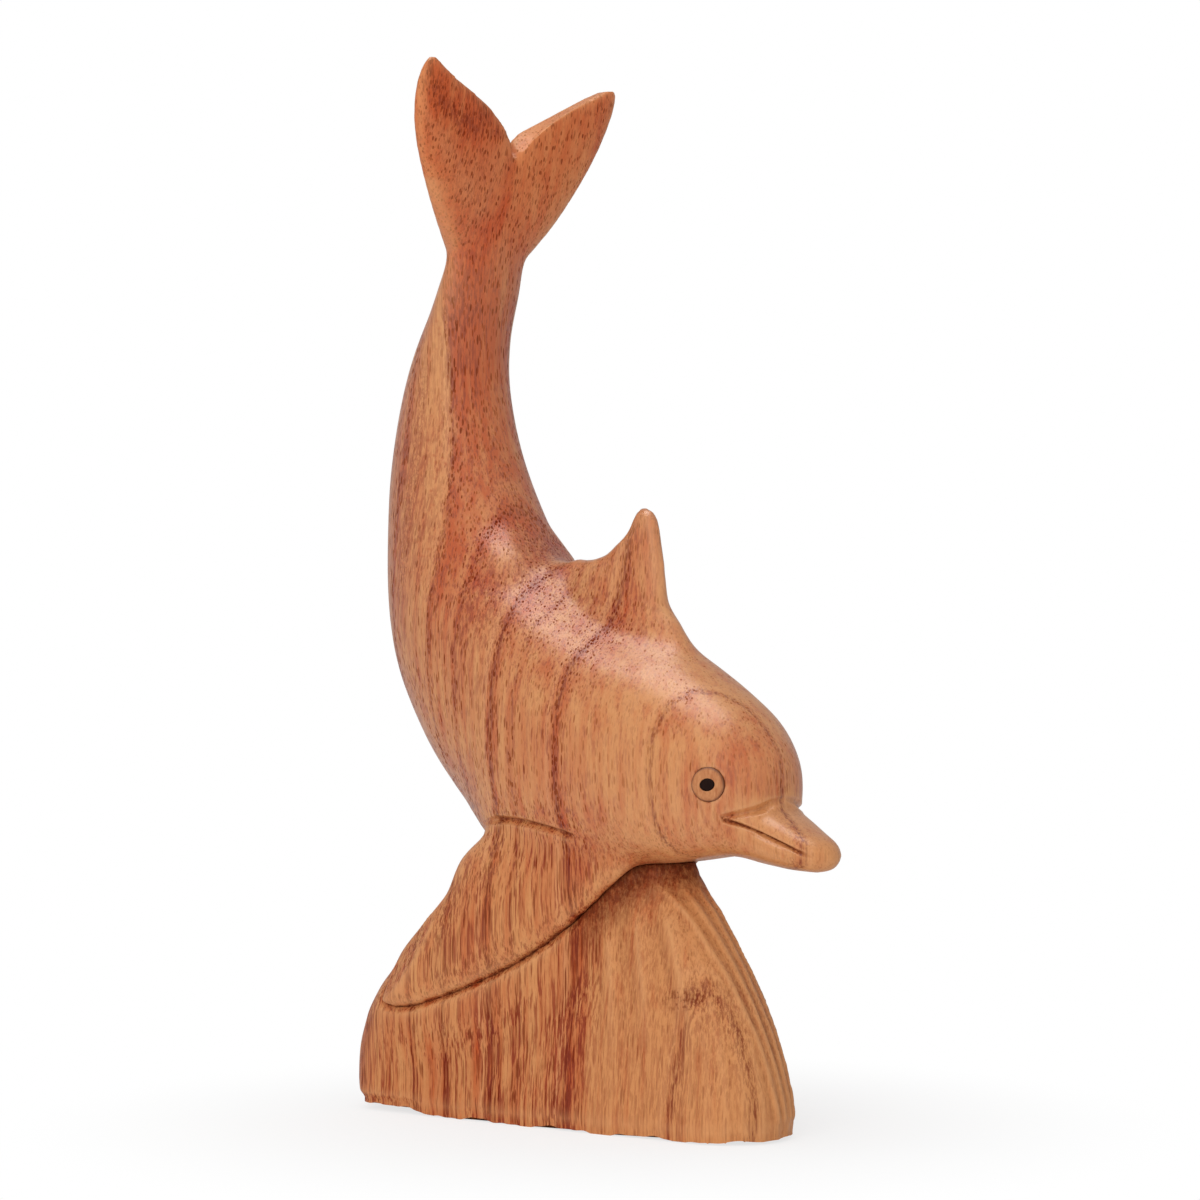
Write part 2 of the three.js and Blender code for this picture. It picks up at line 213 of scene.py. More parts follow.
class NodeSheet:
    """A node tree that is written from Python."""

    def __init__(self, tree: bpy.types.NodeTree) -> None:
        """Takes an empty or fresh tree."""
        self.tree = tree

    def add(
        self,
        kind: str,
        settings: dict[str, Any] | None = None,
        inputs: dict[str | int, Any] | None = None,
    ) -> bpy.types.Node:
        """Adds a node, sets it up, then fills its sockets.

        Args:
            kind: The node's type.
            settings: Properties of the node, set before its sockets are touched.
            inputs: Sockets by name or number, each with a value or a link.

        Returns:
            The new node.
        """
        node = self.tree.nodes.new(kind)
        for name, setting in (settings or {}).items():
            setattr(node, name, setting)
        for key, content in (inputs or {}).items():
            self.feed(node.inputs[key], content)
        return node

    def feed(self, socket: bpy.types.NodeSocket, content: Any) -> None:
        """Links content to a socket, or writes it there as a constant.

        Args:
            socket: Input to fill.
            content: Value, link or constant.
        """
        if isinstance(content, Value):
            self.tree.links.new(content.socket, socket)
        elif isinstance(content, bpy.types.NodeSocket):
            self.tree.links.new(content, socket)
        else:
            socket.default_value = content

    def math(self, operation: str, *operands: Value | float) -> Value:
        """Adds a Math node.

        Args:
            operation: The node's operation.
            operands: Values or plain numbers, in order.

        Returns:
            The node's result.
        """
        node = self.add("ShaderNodeMath", {"operation": operation}, dict(enumerate(operands)))
        return Value(self, node.outputs[0])

    def vector(self, x: Value | float, y: Value | float, z: Value | float) -> bpy.types.NodeSocket:
        """Puts three numbers together as a vector."""
        return self.add("ShaderNodeCombineXYZ", None, {0: x, 1: y, 2: z}).outputs[0]

    def ramp(self, factor: Value, stops: Sequence[tuple[float, float]]) -> Value:
        """Reads a number off a ramp.

        Args:
            factor: Place on the ramp, 0 to 1.
            stops: Places and the numbers at them, in order.

        Returns:
            The number at that place.
        """
        node = self.add("ShaderNodeValToRGB", None, {"Fac": factor})
        elements = node.color_ramp.elements
        elements[0].position, elements[1].position = stops[0][0], stops[-1][0]
        for place, _ in stops[1:-1]:
            elements.new(place)
        for element, (_, level) in zip(elements, stops):
            element.color = (level, level, level, 1.0)
        return Value(self, node.outputs["Color"])

    def noise(self, place: Any, detail: float = 2.0, roughness: float = 0.5) -> Value:
        """Adds a noise texture that swings about 0.5.

        Args:
            place: Vector to read the noise at.
            detail: Number of octaves.
            roughness: Share that each octave keeps.

        Returns:
            The noise.
        """
        sockets = {"Vector": place, "Scale": 1.0, "Detail": detail, "Roughness": roughness}
        node = self.add("ShaderNodeTexNoise", {"noise_dimensions": "3D"}, sockets)
        return Value(self, node.outputs["Fac"])

    def swing(
        self,
        place: tuple[Value, Value, Value],
        across: float,
        along: float,
        detail: float = 2.0,
        roughness: float = 0.5,
    ) -> Value:
        """Adds noise about 0 that is drawn out along the grain.

        Args:
            place: Numbers along X, Y and the grain.
            across: Scale across the grain.
            along: Scale along it.
            detail: Number of octaves.
            roughness: Share that each octave keeps.

        Returns:
            The noise.
        """
        x, y, z = place
        spot = self.vector(x * across, y * across, z * along)
        return self.noise(spot, detail, roughness) - 0.5

    def place(self) -> tuple[Value, Value, Value]:
        """Reads the Object coordinates.

        Returns:
            Millimetres along X, Y and Z.
        """
        spot = self.add("ShaderNodeTexCoord").outputs["Object"]
        parts = self.add("ShaderNodeSeparateXYZ", None, {0: spot}).outputs
        return tuple(Value(self, socket) * METRE for socket in parts)

    def relief(self) -> Value:
        """How hollow the surface is, from the piece's own attribute, which also carries painted shade and
        painted highlight.
        """
        return Value(self, self.add("ShaderNodeAttribute", {"attribute_name": "relief"}).outputs["Fac"])

    def mix(
        self,
        share: Value | float,
        first: Any,
        second: Any,
        blend: str = "MIX",
    ) -> bpy.types.NodeSocket:
        """Mixes two colours.

        Args:
            share: How much of the second colour shows.
            first: Colour or link.
            second: Colour or link.
            blend: Way of mixing.

        Returns:
            The mixed colour's socket.
        """
        node = self.add("ShaderNodeMix", {"data_type": "RGBA", "blend_type": blend})
        self.feed(node.inputs[0], share)
        for socket, content in ((node.inputs[6], first), (node.inputs[7], second)):
            self.feed(socket, (*content, 1.0) if isinstance(content, tuple) else content)
        return node.outputs[2]


@dataclass(frozen=True)
class RingLine:
    """One dark line of the growth rings: its distance from the pith, its width and strength."""

    radius: float
    width: float
    strength: float


@dataclass(frozen=True)
class PoreLayer:
    """One size of the wood's pores.

    Attributes:
        cell: Spacing across the grain.
        length: Spacing along the grain.
        size: Half the pore's breadth and length, as a share of its spacing.
        share: How many of the places hold a pore.
        pull: How much more there are along the ring lines.
        dark: How dark the darkest are.
        in_lines: Whether they keep to the ring lines themselves.
    """

    cell: float
    length: float
    size: float
    share: float
    pull: float
    dark: float
    in_lines: bool = False


@dataclass(frozen=True)
class Growth:
    """How the wood grew at each place of the block.

    Attributes:
        x: Millimetres along X.
        y: Millimetres along Y.
        z: Millimetres along Z.
        grain: Way along the grain, which is drawn out below the fins.
        radius: Distance from the pith.
        turn: Angle round the pith.
        upper: 1 in the flukes.
        low_down: 1 below the fins' roots.
        outer: 1 away from the pith.
        beak: 1 on the beak.
        tone: Redness of the growth ring.
        line: Strength of the ring lines.
        crowd: How the pores crowd round the lines.
        band: Red bands along the lines.
        pale: Pale bands beside the lines.
        streak: Broad upright streaks.
        column: Narrow upright streaks.
        cloud: Slow changes.
        fibre: Short dashes.
        speck: Fine specks.
        depth: How strongly pores and dashes show.
    """

    x: Value
    y: Value
    z: Value
    grain: Value
    radius: Value
    turn: Value
    upper: Value
    low_down: Value
    outer: Value
    beak: Value
    tone: Value
    line: Value
    crowd: Value
    band: Value
    pale: Value
    streak: Value
    column: Value
    cloud: Value
    fibre: Value
    speck: Value
    depth: Value


@dataclass(frozen=True)
class CarvedWood:
    """Oiled tropical hardwood with open pores, its grain running up the block.

    A pair of numbers for a place says where something fades in: it is 0 at the first, full at the second.

    Attributes:
        name: Name of the material.
        pith: X and Y of the pith at pith_height.
        pith_height: Height at which the pith is given.
        lean: How far the pith leans along X and Y per millimetre of height.
        bend: How far the rings swing out in the tail.
        bend_kept: What is left of that in the flukes.
        reach: Radius at which the ramps end.
        blush: X and Z of a red spot on the forehead.
        tear: X and Z of torn grain on the base's flank.
        arch: Y and Z of the arch that a ring draws on the right fluke.
        lines: The ring lines.
        line_span: Where a line starts and ends, in widths from its radius; the next spans are read alike.
        tones: Redness by radius, and the same for the tail and the flukes.
        long_grain: Height below which the grain is drawn out, and how much of its length is kept there.
        pore_layers: The sizes of pores.
    """

    name: str = "carved_wood"
    pith: tuple[float, float] = (44.6, -20.5)
    pith_height: float = 70.0
    lean: tuple[float, float] = (0.03, 0.06)
    bend: float = 5.4
    bend_heights: tuple[float, float] = (105.0, 152.0)
    bend_back: tuple[float, float] = (162.0, 188.0)
    bend_kept: float = 2.0
    bend_radii: tuple[float, float] = (86.0, 79.0)
    reach: float = 120.0
    gold: Colour = linear(208, 142, 89)
    red: Colour = linear(183, 80, 36)
    dash: Colour = linear(142, 52, 24)
    line: Colour = linear(116, 38, 16)
    pale: Colour = linear(224, 164, 112)
    pore: Colour = linear(106, 32, 14)
    # Colour of the painted shade in hollows, along the seams, in the mouth, round the eye sockets and under
    # the chin.
    hollow: Colour = linear(104, 44, 22)
    shade: Colour = (0.76, 0.62, 0.54)
    blush: tuple[float, float] = (46.0, 69.0)
    blush_size: tuple[float, float] = (7.5, 8.5)
    tear: tuple[float, float] = (29.0, 25.4)
    tear_size: tuple[float, float] = (6.0, 2.6)
    arch: tuple[float, float] = (-6.0, 197.0)
    arch_size: tuple[float, float] = (20.0, 9.6)
    arch_side: tuple[float, float] = (2.0, -1.0)
    arch_top: tuple[float, float] = (197.5, 195.0)
    lines: tuple[RingLine, ...] = (
        RingLine(19.3, 1.2, 0.7),
        RingLine(39.6, 1.8, 1.0),
        RingLine(50.5, 1.6, 0.35),
        RingLine(56.2, 1.8, 1.0),
        RingLine(66.5, 1.6, 0.6),
        RingLine(74.4, 1.2, 0.8),
        RingLine(87.6, 1.6, 0.8),
        RingLine(96.0, 1.6, 0.6),
    )
    line_span: tuple[float, float] = (-0.35, 0.55)
    crowd_span: tuple[float, float] = (-1.7, 0.9)
    band_span: tuple[float, float] = (-1.4, 0.7)
    pale_span: tuple[float, float] = (0.6, 1.6)
    tones: Profile = (
        (0.0, 0.40), (8.0, 0.46), (11.0, 0.38), (14.0, 0.32), (18.5, 0.26), (20.5, 0.20), (30.0, 0.24),
        (38.5, 0.45), (41.5, 0.36), (49.0, 0.32), (55.5, 0.46), (58.5, 0.28), (66.0, 0.42), (74.0, 0.36),
        (84.0, 0.32), (87.0, 0.48), (120.0, 0.40),
    )
    tail_tones: Profile = (
        (0.0, 0.30), (25.0, 0.40), (38.5, 0.62), (41.5, 0.48), (49.0, 0.40), (55.5, 0.52), (58.5, 0.45),
        (66.0, 0.85), (73.5, 0.98), (75.0, 0.20), (82.0, 0.22), (85.4, 0.22), (87.3, 0.50), (89.5, 0.36),
        (120.0, 0.36),
    )
    tail_heights: tuple[float, float] = (75.0, 120.0)
    fluke_tones: Profile = (
        (0.0, 0.90), (66.3, 0.90), (70.0, 0.72), (76.0, 0.50), (120.0, 0.45),
    )
    fluke_heights: tuple[float, float] = (152.0, 170.0)
    fluke_gain: Colour = (1.22, 1.22, 1.20)
    long_grain: tuple[float, float] = (60.0, 0.35)
    plain_radii: tuple[float, float] = (69.0, 71.0)
    fin_roots: tuple[float, float] = (62.0, 56.0)
    heart_radii: tuple[float, float] = (32.0, 38.0)
    beak_start: tuple[float, float] = (36.0, 42.0)
    beak_top: tuple[float, float] = (65.0, 60.0)
    foot_top: tuple[float, float] = (48.0, 36.0)
    foot_radii: tuple[float, float] = (40.0, 34.0)
    dorsal_heights: tuple[float, float] = (103.0, 111.0)
    dorsal_start: tuple[float, float] = (-14.0, -6.0)
    rung_start: tuple[float, float] = (81.8, 82.8)
    rung_end: tuple[float, float] = (85.8, 84.8)
    rung_bottom: tuple[float, float] = (92.0, 104.0)
    rung_top: tuple[float, float] = (150.0, 138.0)
    fleck_radii: tuple[float, float] = (60.0, 74.0)
    fleck_heights: tuple[float, float] = (28.0, 36.0)
    gloss_heights: tuple[float, float] = (40.0, 62.0)
    dull_heights: tuple[float, float] = (150.0, 180.0)
    specular: float = 0.05
    coat_roughness: float = 0.32
    coat_ior: float = 1.52
    pore_layers: tuple[PoreLayer, ...] = (
        PoreLayer(cell=0.64, length=3.6, size=0.31, share=0.50, pull=0.9, dark=1.00),
        PoreLayer(cell=0.45, length=2.6, size=0.34, share=0.60, pull=0.6, dark=0.65),
        PoreLayer(cell=0.60, length=1.5, size=0.37, share=0.00, pull=2.6, dark=1.00, in_lines=True),
    )

    def material(self) -> bpy.types.Material:
        """Builds the material from Object coordinates and the piece's own relief attribute.

        Returns:
            The wood.
        """
        material = bpy.data.materials.new(self.name)
        material.use_nodes = True
        sheet = NodeSheet(material.node_tree)
        shader = material.node_tree.nodes["Principled BSDF"]
        grown = self._grown(sheet)
        relief = sheet.relief()
        hollow_share = relief.above(0.0).below(1.0)
        torn = self._torn(sheet, grown, hollow_share)
        redness = self._redness(grown)
        pores = self._pores(sheet, grown, redness)
        colour = self._figure(sheet, grown, redness)
        colour = sheet.mix(pores, colour, self.pore)
        # Where the relief is negative, ridges and the flukes' upward faces turn pale: on ridges this is
        # partly edge wear and partly painted highlight, and on the fluke tops it is painted highlight.
        colour = sheet.mix((relief * -1.1).above(0.0).below(0.5), colour, self.pale)
        # Painted shade: where the relief is positive, the surface darkens in hollows, along the seams, in
        # the mouth, round the eye sockets' edges and on the base under the chin.
        colour = sheet.mix((hollow_share * (0.8 + grown.speck * 1.5)).above(0.0).below(0.9), colour, self.hollow)
        # Torn grain darkens the flank patch; in the hollows the same spots add to the painted shade.
        colour = sheet.mix(torn * 0.55, colour, self.pore)
        shown = 0.3 + grown.z.fade(*self.gloss_heights) * 0.7
        shown = shown * (1.0 - grown.z.fade(*self.dull_heights) * 0.6)
        gloss = (0.95 - pores * 1.6 - torn - hollow_share * 0.7 + grown.cloud * 1.2 + grown.fibre * 0.8) * shown
        depth = grown.fibre * 0.5 - pores - torn
        bump = sheet.add("ShaderNodeBump", None, {"Strength": 0.45, "Distance": 0.0002, "Height": depth})
        sheet.feed(shader.inputs["Base Color"], colour)
        sheet.feed(shader.inputs["Roughness"], 0.5 + pores * 0.3 + grown.fibre * 0.3)
        sheet.feed(shader.inputs["Coat Weight"], gloss.above(0.0).below(1.0))
        sheet.feed(shader.inputs["Normal"], bump.outputs[0])
        shader.inputs["Specular IOR Level"].default_value = self.specular
        shader.inputs["Coat Roughness"].default_value = self.coat_roughness
        shader.inputs["Coat IOR"].default_value = self.coat_ior
        return material

    def _grown(self, sheet: NodeSheet) -> Growth:
        """Works out how the wood grew.

        Args:
            sheet: Sheet to draw on.

        Returns:
            The wood's growth at each place.
        """
        x, y, z = sheet.place()
        knee, slope = self.long_grain
        grain = z.above(knee) + z.below(knee) * slope
        radius, turn = self._polar(sheet, x, y, z)
        spot = radius / self.reach
        upper, low_down = z.fade(*self.fluke_heights), z.fade(*self.fin_roots)
        outer = radius.fade(*self.heart_radii)
        beak = x.fade(*self.beak_start) * z.fade(*self.beak_top)
        body, tail, fluke = (sheet.ramp(spot, [(at / self.reach, level) for at, level in tones])
                             for tones in (self.tones, self.tail_tones, self.fluke_tones))
        tone = body + (tail - body) * z.fade(*self.tail_heights)
        plain = 1.0 - upper * radius.fade(*self.plain_radii)
        spans = (self.line_span, self.crowd_span, self.band_span, self.pale_span)
        line, crowd, band, pale = (sheet.ramp(spot, self._peaks(*span)) * plain for span in spans)
        arch = self._arch(sheet, y, z)
        stroke = sheet.swing((x, y, z), 2.0, 0.34, 2.0, 0.6)
        fibre = sheet.swing((x, y, grain), 2.2, 0.19, 3.0, 0.7)
        return Growth(
            x=x, y=y, z=z, grain=grain, radius=radius, turn=turn,
            upper=upper, low_down=low_down, outer=outer, beak=beak,
            tone=tone + (fluke - tone) * upper,
            line=line.above(arch * 0.4), crowd=crowd.above(arch), band=band, pale=pale,
            streak=sheet.swing((x, y, z), 0.16, 0.012),
            column=sheet.swing((x, y, z), 0.62, 0.022, 3.0, 0.6),
            cloud=sheet.swing((x, y, z), 0.045, 0.02),
            fibre=stroke + (fibre - stroke) * outer.above(low_down),
            speck=sheet.swing((x, y, z), 1.6, 0.8, 2.0, 0.7),
            depth=0.7 - (low_down * 0.2).above(beak * 0.35) + outer * 0.3,
        )

    def _redness(self, grown: Growth) -> Value:
        """How red the wood is.

        Args:
            grown: The wood's growth.

        Returns:
            0 for golden wood and 1 for red wood.
        """
        foot = grown.z.fade(*self.foot_top) * grown.radius.fade(*self.foot_radii)
        dorsal = grown.z.fade(*self.dorsal_heights) * grown.x.fade(*self.dorsal_start)
        striped = grown.streak * 1.1 + grown.column * 2.0 * (1.0 - grown.upper * 0.55)
        redness = grown.tone + grown.band * 0.22 + striped + grown.cloud * 0.5 + dorsal * 0.2
        redness = redness - foot * 0.36 - grown.beak * 0.3
        blush = self._oval(grown.x, grown.z, self.blush, self.blush_size)
        return (redness + blush.fade(1.0, 0.0) * 0.4).above(0.0).below(1.0)

    @staticmethod
    def _oval(
        across: Value,
        up: Value,
        middle: tuple[float, float],
        size: tuple[float, float],
    ) -> Value:
        """Square of the distance from the middle of an oval.

        Args:
            across: One number of each place.
            up: The other one.
            middle: Middle of the oval.
            size: Its half sizes.

        Returns:
            0 in the middle and 1 on the oval.
        """
        wide, high = (across - middle[0]) / size[0], (up - middle[1]) / size[1]
        return wide * wide + high * high

    def _figure(self, sheet: NodeSheet, grown: Growth, redness: Value) -> bpy.types.NodeSocket:
        """Colours the wood's figure, without its pores.

        Args:
            sheet: Sheet to draw on.
            grown: The wood's growth.
            redness: How red the wood is.

        Returns:
            The colour.
        """
        dashes = (grown.fibre + grown.cloud * 0.3).fade(-0.02, 0.12) * grown.depth
        dashes = dashes * (1.0 - grown.upper * 0.6)
        dashes = dashes * (0.32 + redness * 0.6 + grown.low_down * (0.3 + grown.outer * 0.3))
        clusters = grown.fibre.fade(-0.01, 0.09) * grown.crowd.below(1.0) * grown.low_down
        colour = sheet.mix(redness, self.gold, self.red)
        colour = sheet.mix(grown.upper, colour, self.fluke_gain, "MULTIPLY")
        for share, tint in (
            ((grown.pale * (0.4 + grown.column * 2.0)).above(0.0), self.pale),
            ((grown.line * (0.7 + grown.fibre * 5.0)).above(0.0).below(1.0), self.line),
            (self._flecks(sheet, grown) * 0.45, self.red),
            (self._rungs(sheet, grown) * 0.45, self.dash),
            (dashes.below(0.9), self.dash),
            (clusters * 0.85, self.line),
        ):
            colour = sheet.mix(share, colour, tint)
        dust = (0.25 + grown.speck * 2.0).above(0.0).below(1.0) * 0.5
        return sheet.mix(dust, colour, self.shade, "MULTIPLY")

    def _arch(self, sheet: NodeSheet, y: Value, z: Value) -> Value:
        """The arch that one growth ring draws on the right fluke, where the face cuts across it.

        Args:
            sheet: Sheet to draw on.
            y: Millimetres along Y.
            z: Millimetres along Z.

        Returns:
            Up to 1 in the arch and 0 outside.
        """
        waver = sheet.noise(sheet.vector(y * 0.3, 0.0, z * 0.3)) - 0.5
        reach = self._oval(y, z, self.arch, self.arch_size).root() + waver * 0.12
        ring = reach.fade(0.86, 0.98) * reach.fade(1.14, 1.0)
        return ring * y.fade(*self.arch_side) * z.fade(*self.arch_top)

    def _rungs(self, sheet: NodeSheet, grown: Growth) -> Value:
        """Short cross marks in one growth ring of the tail, one above the other like rungs.

        Args:
            sheet: Sheet to draw on.
            grown: The wood's growth.

        Returns:
            Up to 1 inside a mark and 0 outside.
        """
        waver = sheet.noise(sheet.vector(grown.radius * 1.5, 0.0, grown.z * 0.7))
        wave = sheet.math("SINE", grown.z * 4.6 + waver * 20.0)
        ring = grown.radius.fade(*self.rung_start) * grown.radius.fade(*self.rung_end)
        column = grown.z.fade(*self.rung_bottom) * grown.z.fade(*self.rung_top)
        return wave.fade(0.0, 0.6) * ring * column

    def _torn(self, sheet: NodeSheet, grown: Growth, hollow_share: Value) -> Value:
        """Spots of torn grain in one patch on the base's flank and in the hollows, where they also deepen
        the painted shade.

        Args:
            sheet: Sheet to draw on.
            grown: The wood's growth.
            hollow_share: How hollow the surface is.

        Returns:
            Up to 1 inside a spot and 0 outside.
        """
        x, y, z = grown.x, grown.y, grown.z
        patch = self._oval(x, z, self.tear, self.tear_size).fade(1.0, 0.2) * y.fade(0.0, -3.0)
        rough = sheet.swing((x, y, z), 1.7, 1.0, 2.0, 0.6) + 0.5
        return rough.fade(0.47, 0.66) * (patch + hollow_share * 0.7).below(1.0)

    def _polar(self, sheet: NodeSheet, x: Value, y: Value, z: Value) -> tuple[Value, Value]:
        """Distance from the leaning pith and the way round it.

        Args:
            sheet: Sheet to draw on.
            x: Millimetres along X.
            y: Millimetres along Y.
            z: Millimetres along Z.

        Returns:
            The distance, wavered as real rings are and swung out in the tail, and the angle.
        """
        rise = z - self.pith_height
        across = x - self.pith[0] - rise * self.lean[0]
        along = y - self.pith[1] - rise * self.lean[1]
        plain = (across * across + along * along).root()
        bend = z.fade(*self.bend_heights) * self.bend
        bend = bend - z.fade(*self.bend_back) * (self.bend - self.bend_kept)
        waver = sheet.swing((x, y, z), 0.06, 0.022)
        ripple = sheet.swing((x, y, z), 0.7, 0.06)
        radius = plain - plain.fade(*self.bend_radii) * bend + waver * 2.0 + ripple * 0.9
        return radius, sheet.math("ARCTAN2", along, across)

    def _peaks(self, inner: float, outer: float) -> list[tuple[float, float]]:
        """Ramp stops that raise a peak at every ring line.

        Args:
            inner: Where each peak begins, in widths of its line from the line's radius.
            outer: Where each peak ends.

        Returns:
            Places along the ramp and their levels.
        """
        stops = [(0.0, 0.0)]
        for line in self.lines:
            middle = 0.0 if inner < 0.0 else (inner + outer) / 2.0
            for shift, level in ((inner, 0.0), (middle, line.strength), (outer, 0.0)):
                stops.append(((line.radius + shift * line.width) / self.reach, level))
        return stops + [(1.0, 0.0)]

    def _pores(self, sheet: NodeSheet, grown: Growth, redness: Value) -> Value:
        """Vessels along the grain: dots where the surface cuts across them, dashes where it runs along.

        Args:
            sheet: Sheet to draw on.
            grown: The wood's growth.
            redness: How red the wood is.

        Returns:
            Up to 1 inside a pore and 0 outside.
        """
        kept = (0.5 + redness * 0.7 + grown.low_down * 0.25).below(1.0) * (1.0 - grown.upper * 0.2)
        crowds = (grown.crowd + grown.low_down * 0.22, grown.line.above(grown.upper * 0.12))
        total: Value | None = None
        for layer in self.pore_layers:
            spot = sheet.vector(grown.x / layer.cell, grown.y / layer.cell, grown.grain / layer.length)
            node = sheet.add("ShaderNodeTexVoronoi", {"feature": "F1"}, {"Vector": spot, "Scale": 1.0})
            dice = sheet.add("ShaderNodeSeparateColor", None, {0: node.outputs["Color"]}).outputs
            chance, depth = Value(sheet, dice[0]), Value(sheet, dice[1])
            spread = 0.0 if layer.in_lines else grown.cloud * 0.7
            shown = crowds[layer.in_lines] * layer.pull + spread + layer.share - chance
            pore = Value(sheet, node.outputs["Distance"]).fade(layer.size * 1.1, layer.size * 0.75)
            pore = pore * shown.fade(-0.02, 0.02) * (0.4 + depth * 0.6) * layer.dark
            total = pore if total is None else total.above(pore)
        return total * grown.depth * kept

    def _flecks(self, sheet: NodeSheet, grown: Growth) -> Value:
        """Short cross flecks of the wood's rays, which show where the surface runs towards the pith.

        Args:
            sheet: Sheet to draw on.
            grown: The wood's growth.

        Returns:
            Up to 1 inside a fleck and 0 outside.
        """
        radius, turn, z = grown.radius, grown.turn, grown.z
        spot = sheet.vector(radius / 7.0, turn * 90.0, z / 1.5)
        node = sheet.add("ShaderNodeTexVoronoi", {"feature": "F1"}, {"Vector": spot, "Scale": 1.0})
        patches = sheet.noise(sheet.vector(radius * 0.1, turn * 4.0, z * 0.03), 1.0).fade(0.42, 0.55)
        fleck = Value(sheet, node.outputs["Distance"]).fade(0.30, 0.06)
        return fleck * patches * radius.fade(*self.fleck_radii) * z.fade(*self.fleck_heights)


@dataclass(frozen=True)
class InlayWood:
    """Plain close-grained wood of the eyes.

    Attributes:
        name: Name of the material.
        light: Lighter tone of the grain.
        dark: Darker tone of the grain.
        roughness: Roughness of the smoothest grain.
        specular: Level of the shine.
        edge: Painted shade where the inlay lies below the head's surface.
    """

    name: str
    light: Colour
    dark: Colour
    roughness: float
    specular: float
    edge: Colour = linear(92, 44, 24)

    def material(self) -> bpy.types.Material:
        """Builds the inlay's material.

        Returns:
            The wood.
        """
        material = bpy.data.materials.new(self.name)
        material.use_nodes = True
        sheet = NodeSheet(material.node_tree)
        shader = material.node_tree.nodes["Principled BSDF"]
        grain = sheet.swing(sheet.place(), 3.0, 0.6, 3.0, 0.6)
        colour = sheet.mix((grain * 2.6 + 0.5).above(0.0).below(1.0), self.light, self.dark)
        # Painted shade where the inlay lies below the head's surface.
        colour = sheet.mix(sheet.relief().above(0.0).below(1.0) * 0.8, colour, self.edge)
        sheet.feed(shader.inputs["Base Color"], colour)
        sheet.feed(shader.inputs["Roughness"], (grain + 0.5) * 0.2 + self.roughness)
        bump = sheet.add("ShaderNodeBump", None, {"Strength": 0.2, "Distance": 0.0001, "Height": grain})
        sheet.feed(shader.inputs["Normal"], bump.outputs[0])
        shader.inputs["Specular IOR Level"].default_value = self.specular
        return material


EYE_WOOD = InlayWood("eye_wood", linear(200, 136, 86), linear(170, 100, 56), roughness=0.45, specular=0.5)
PUPIL_WOOD = InlayWood("pupil_wood", linear(36, 16, 10), linear(20, 9, 7), roughness=0.6, specular=0.12)


@dataclass(frozen=True)
class Nudge:
    """A push against the surface, most in the middle.

    Attributes:
        centre: Middle of the push.
        reach: Distance at which it has faded out.
        shift: How far the middle goes.
        both: Whether the other side gets the same.
    """

    centre: Point
    reach: float
    shift: Point
    both: bool = True


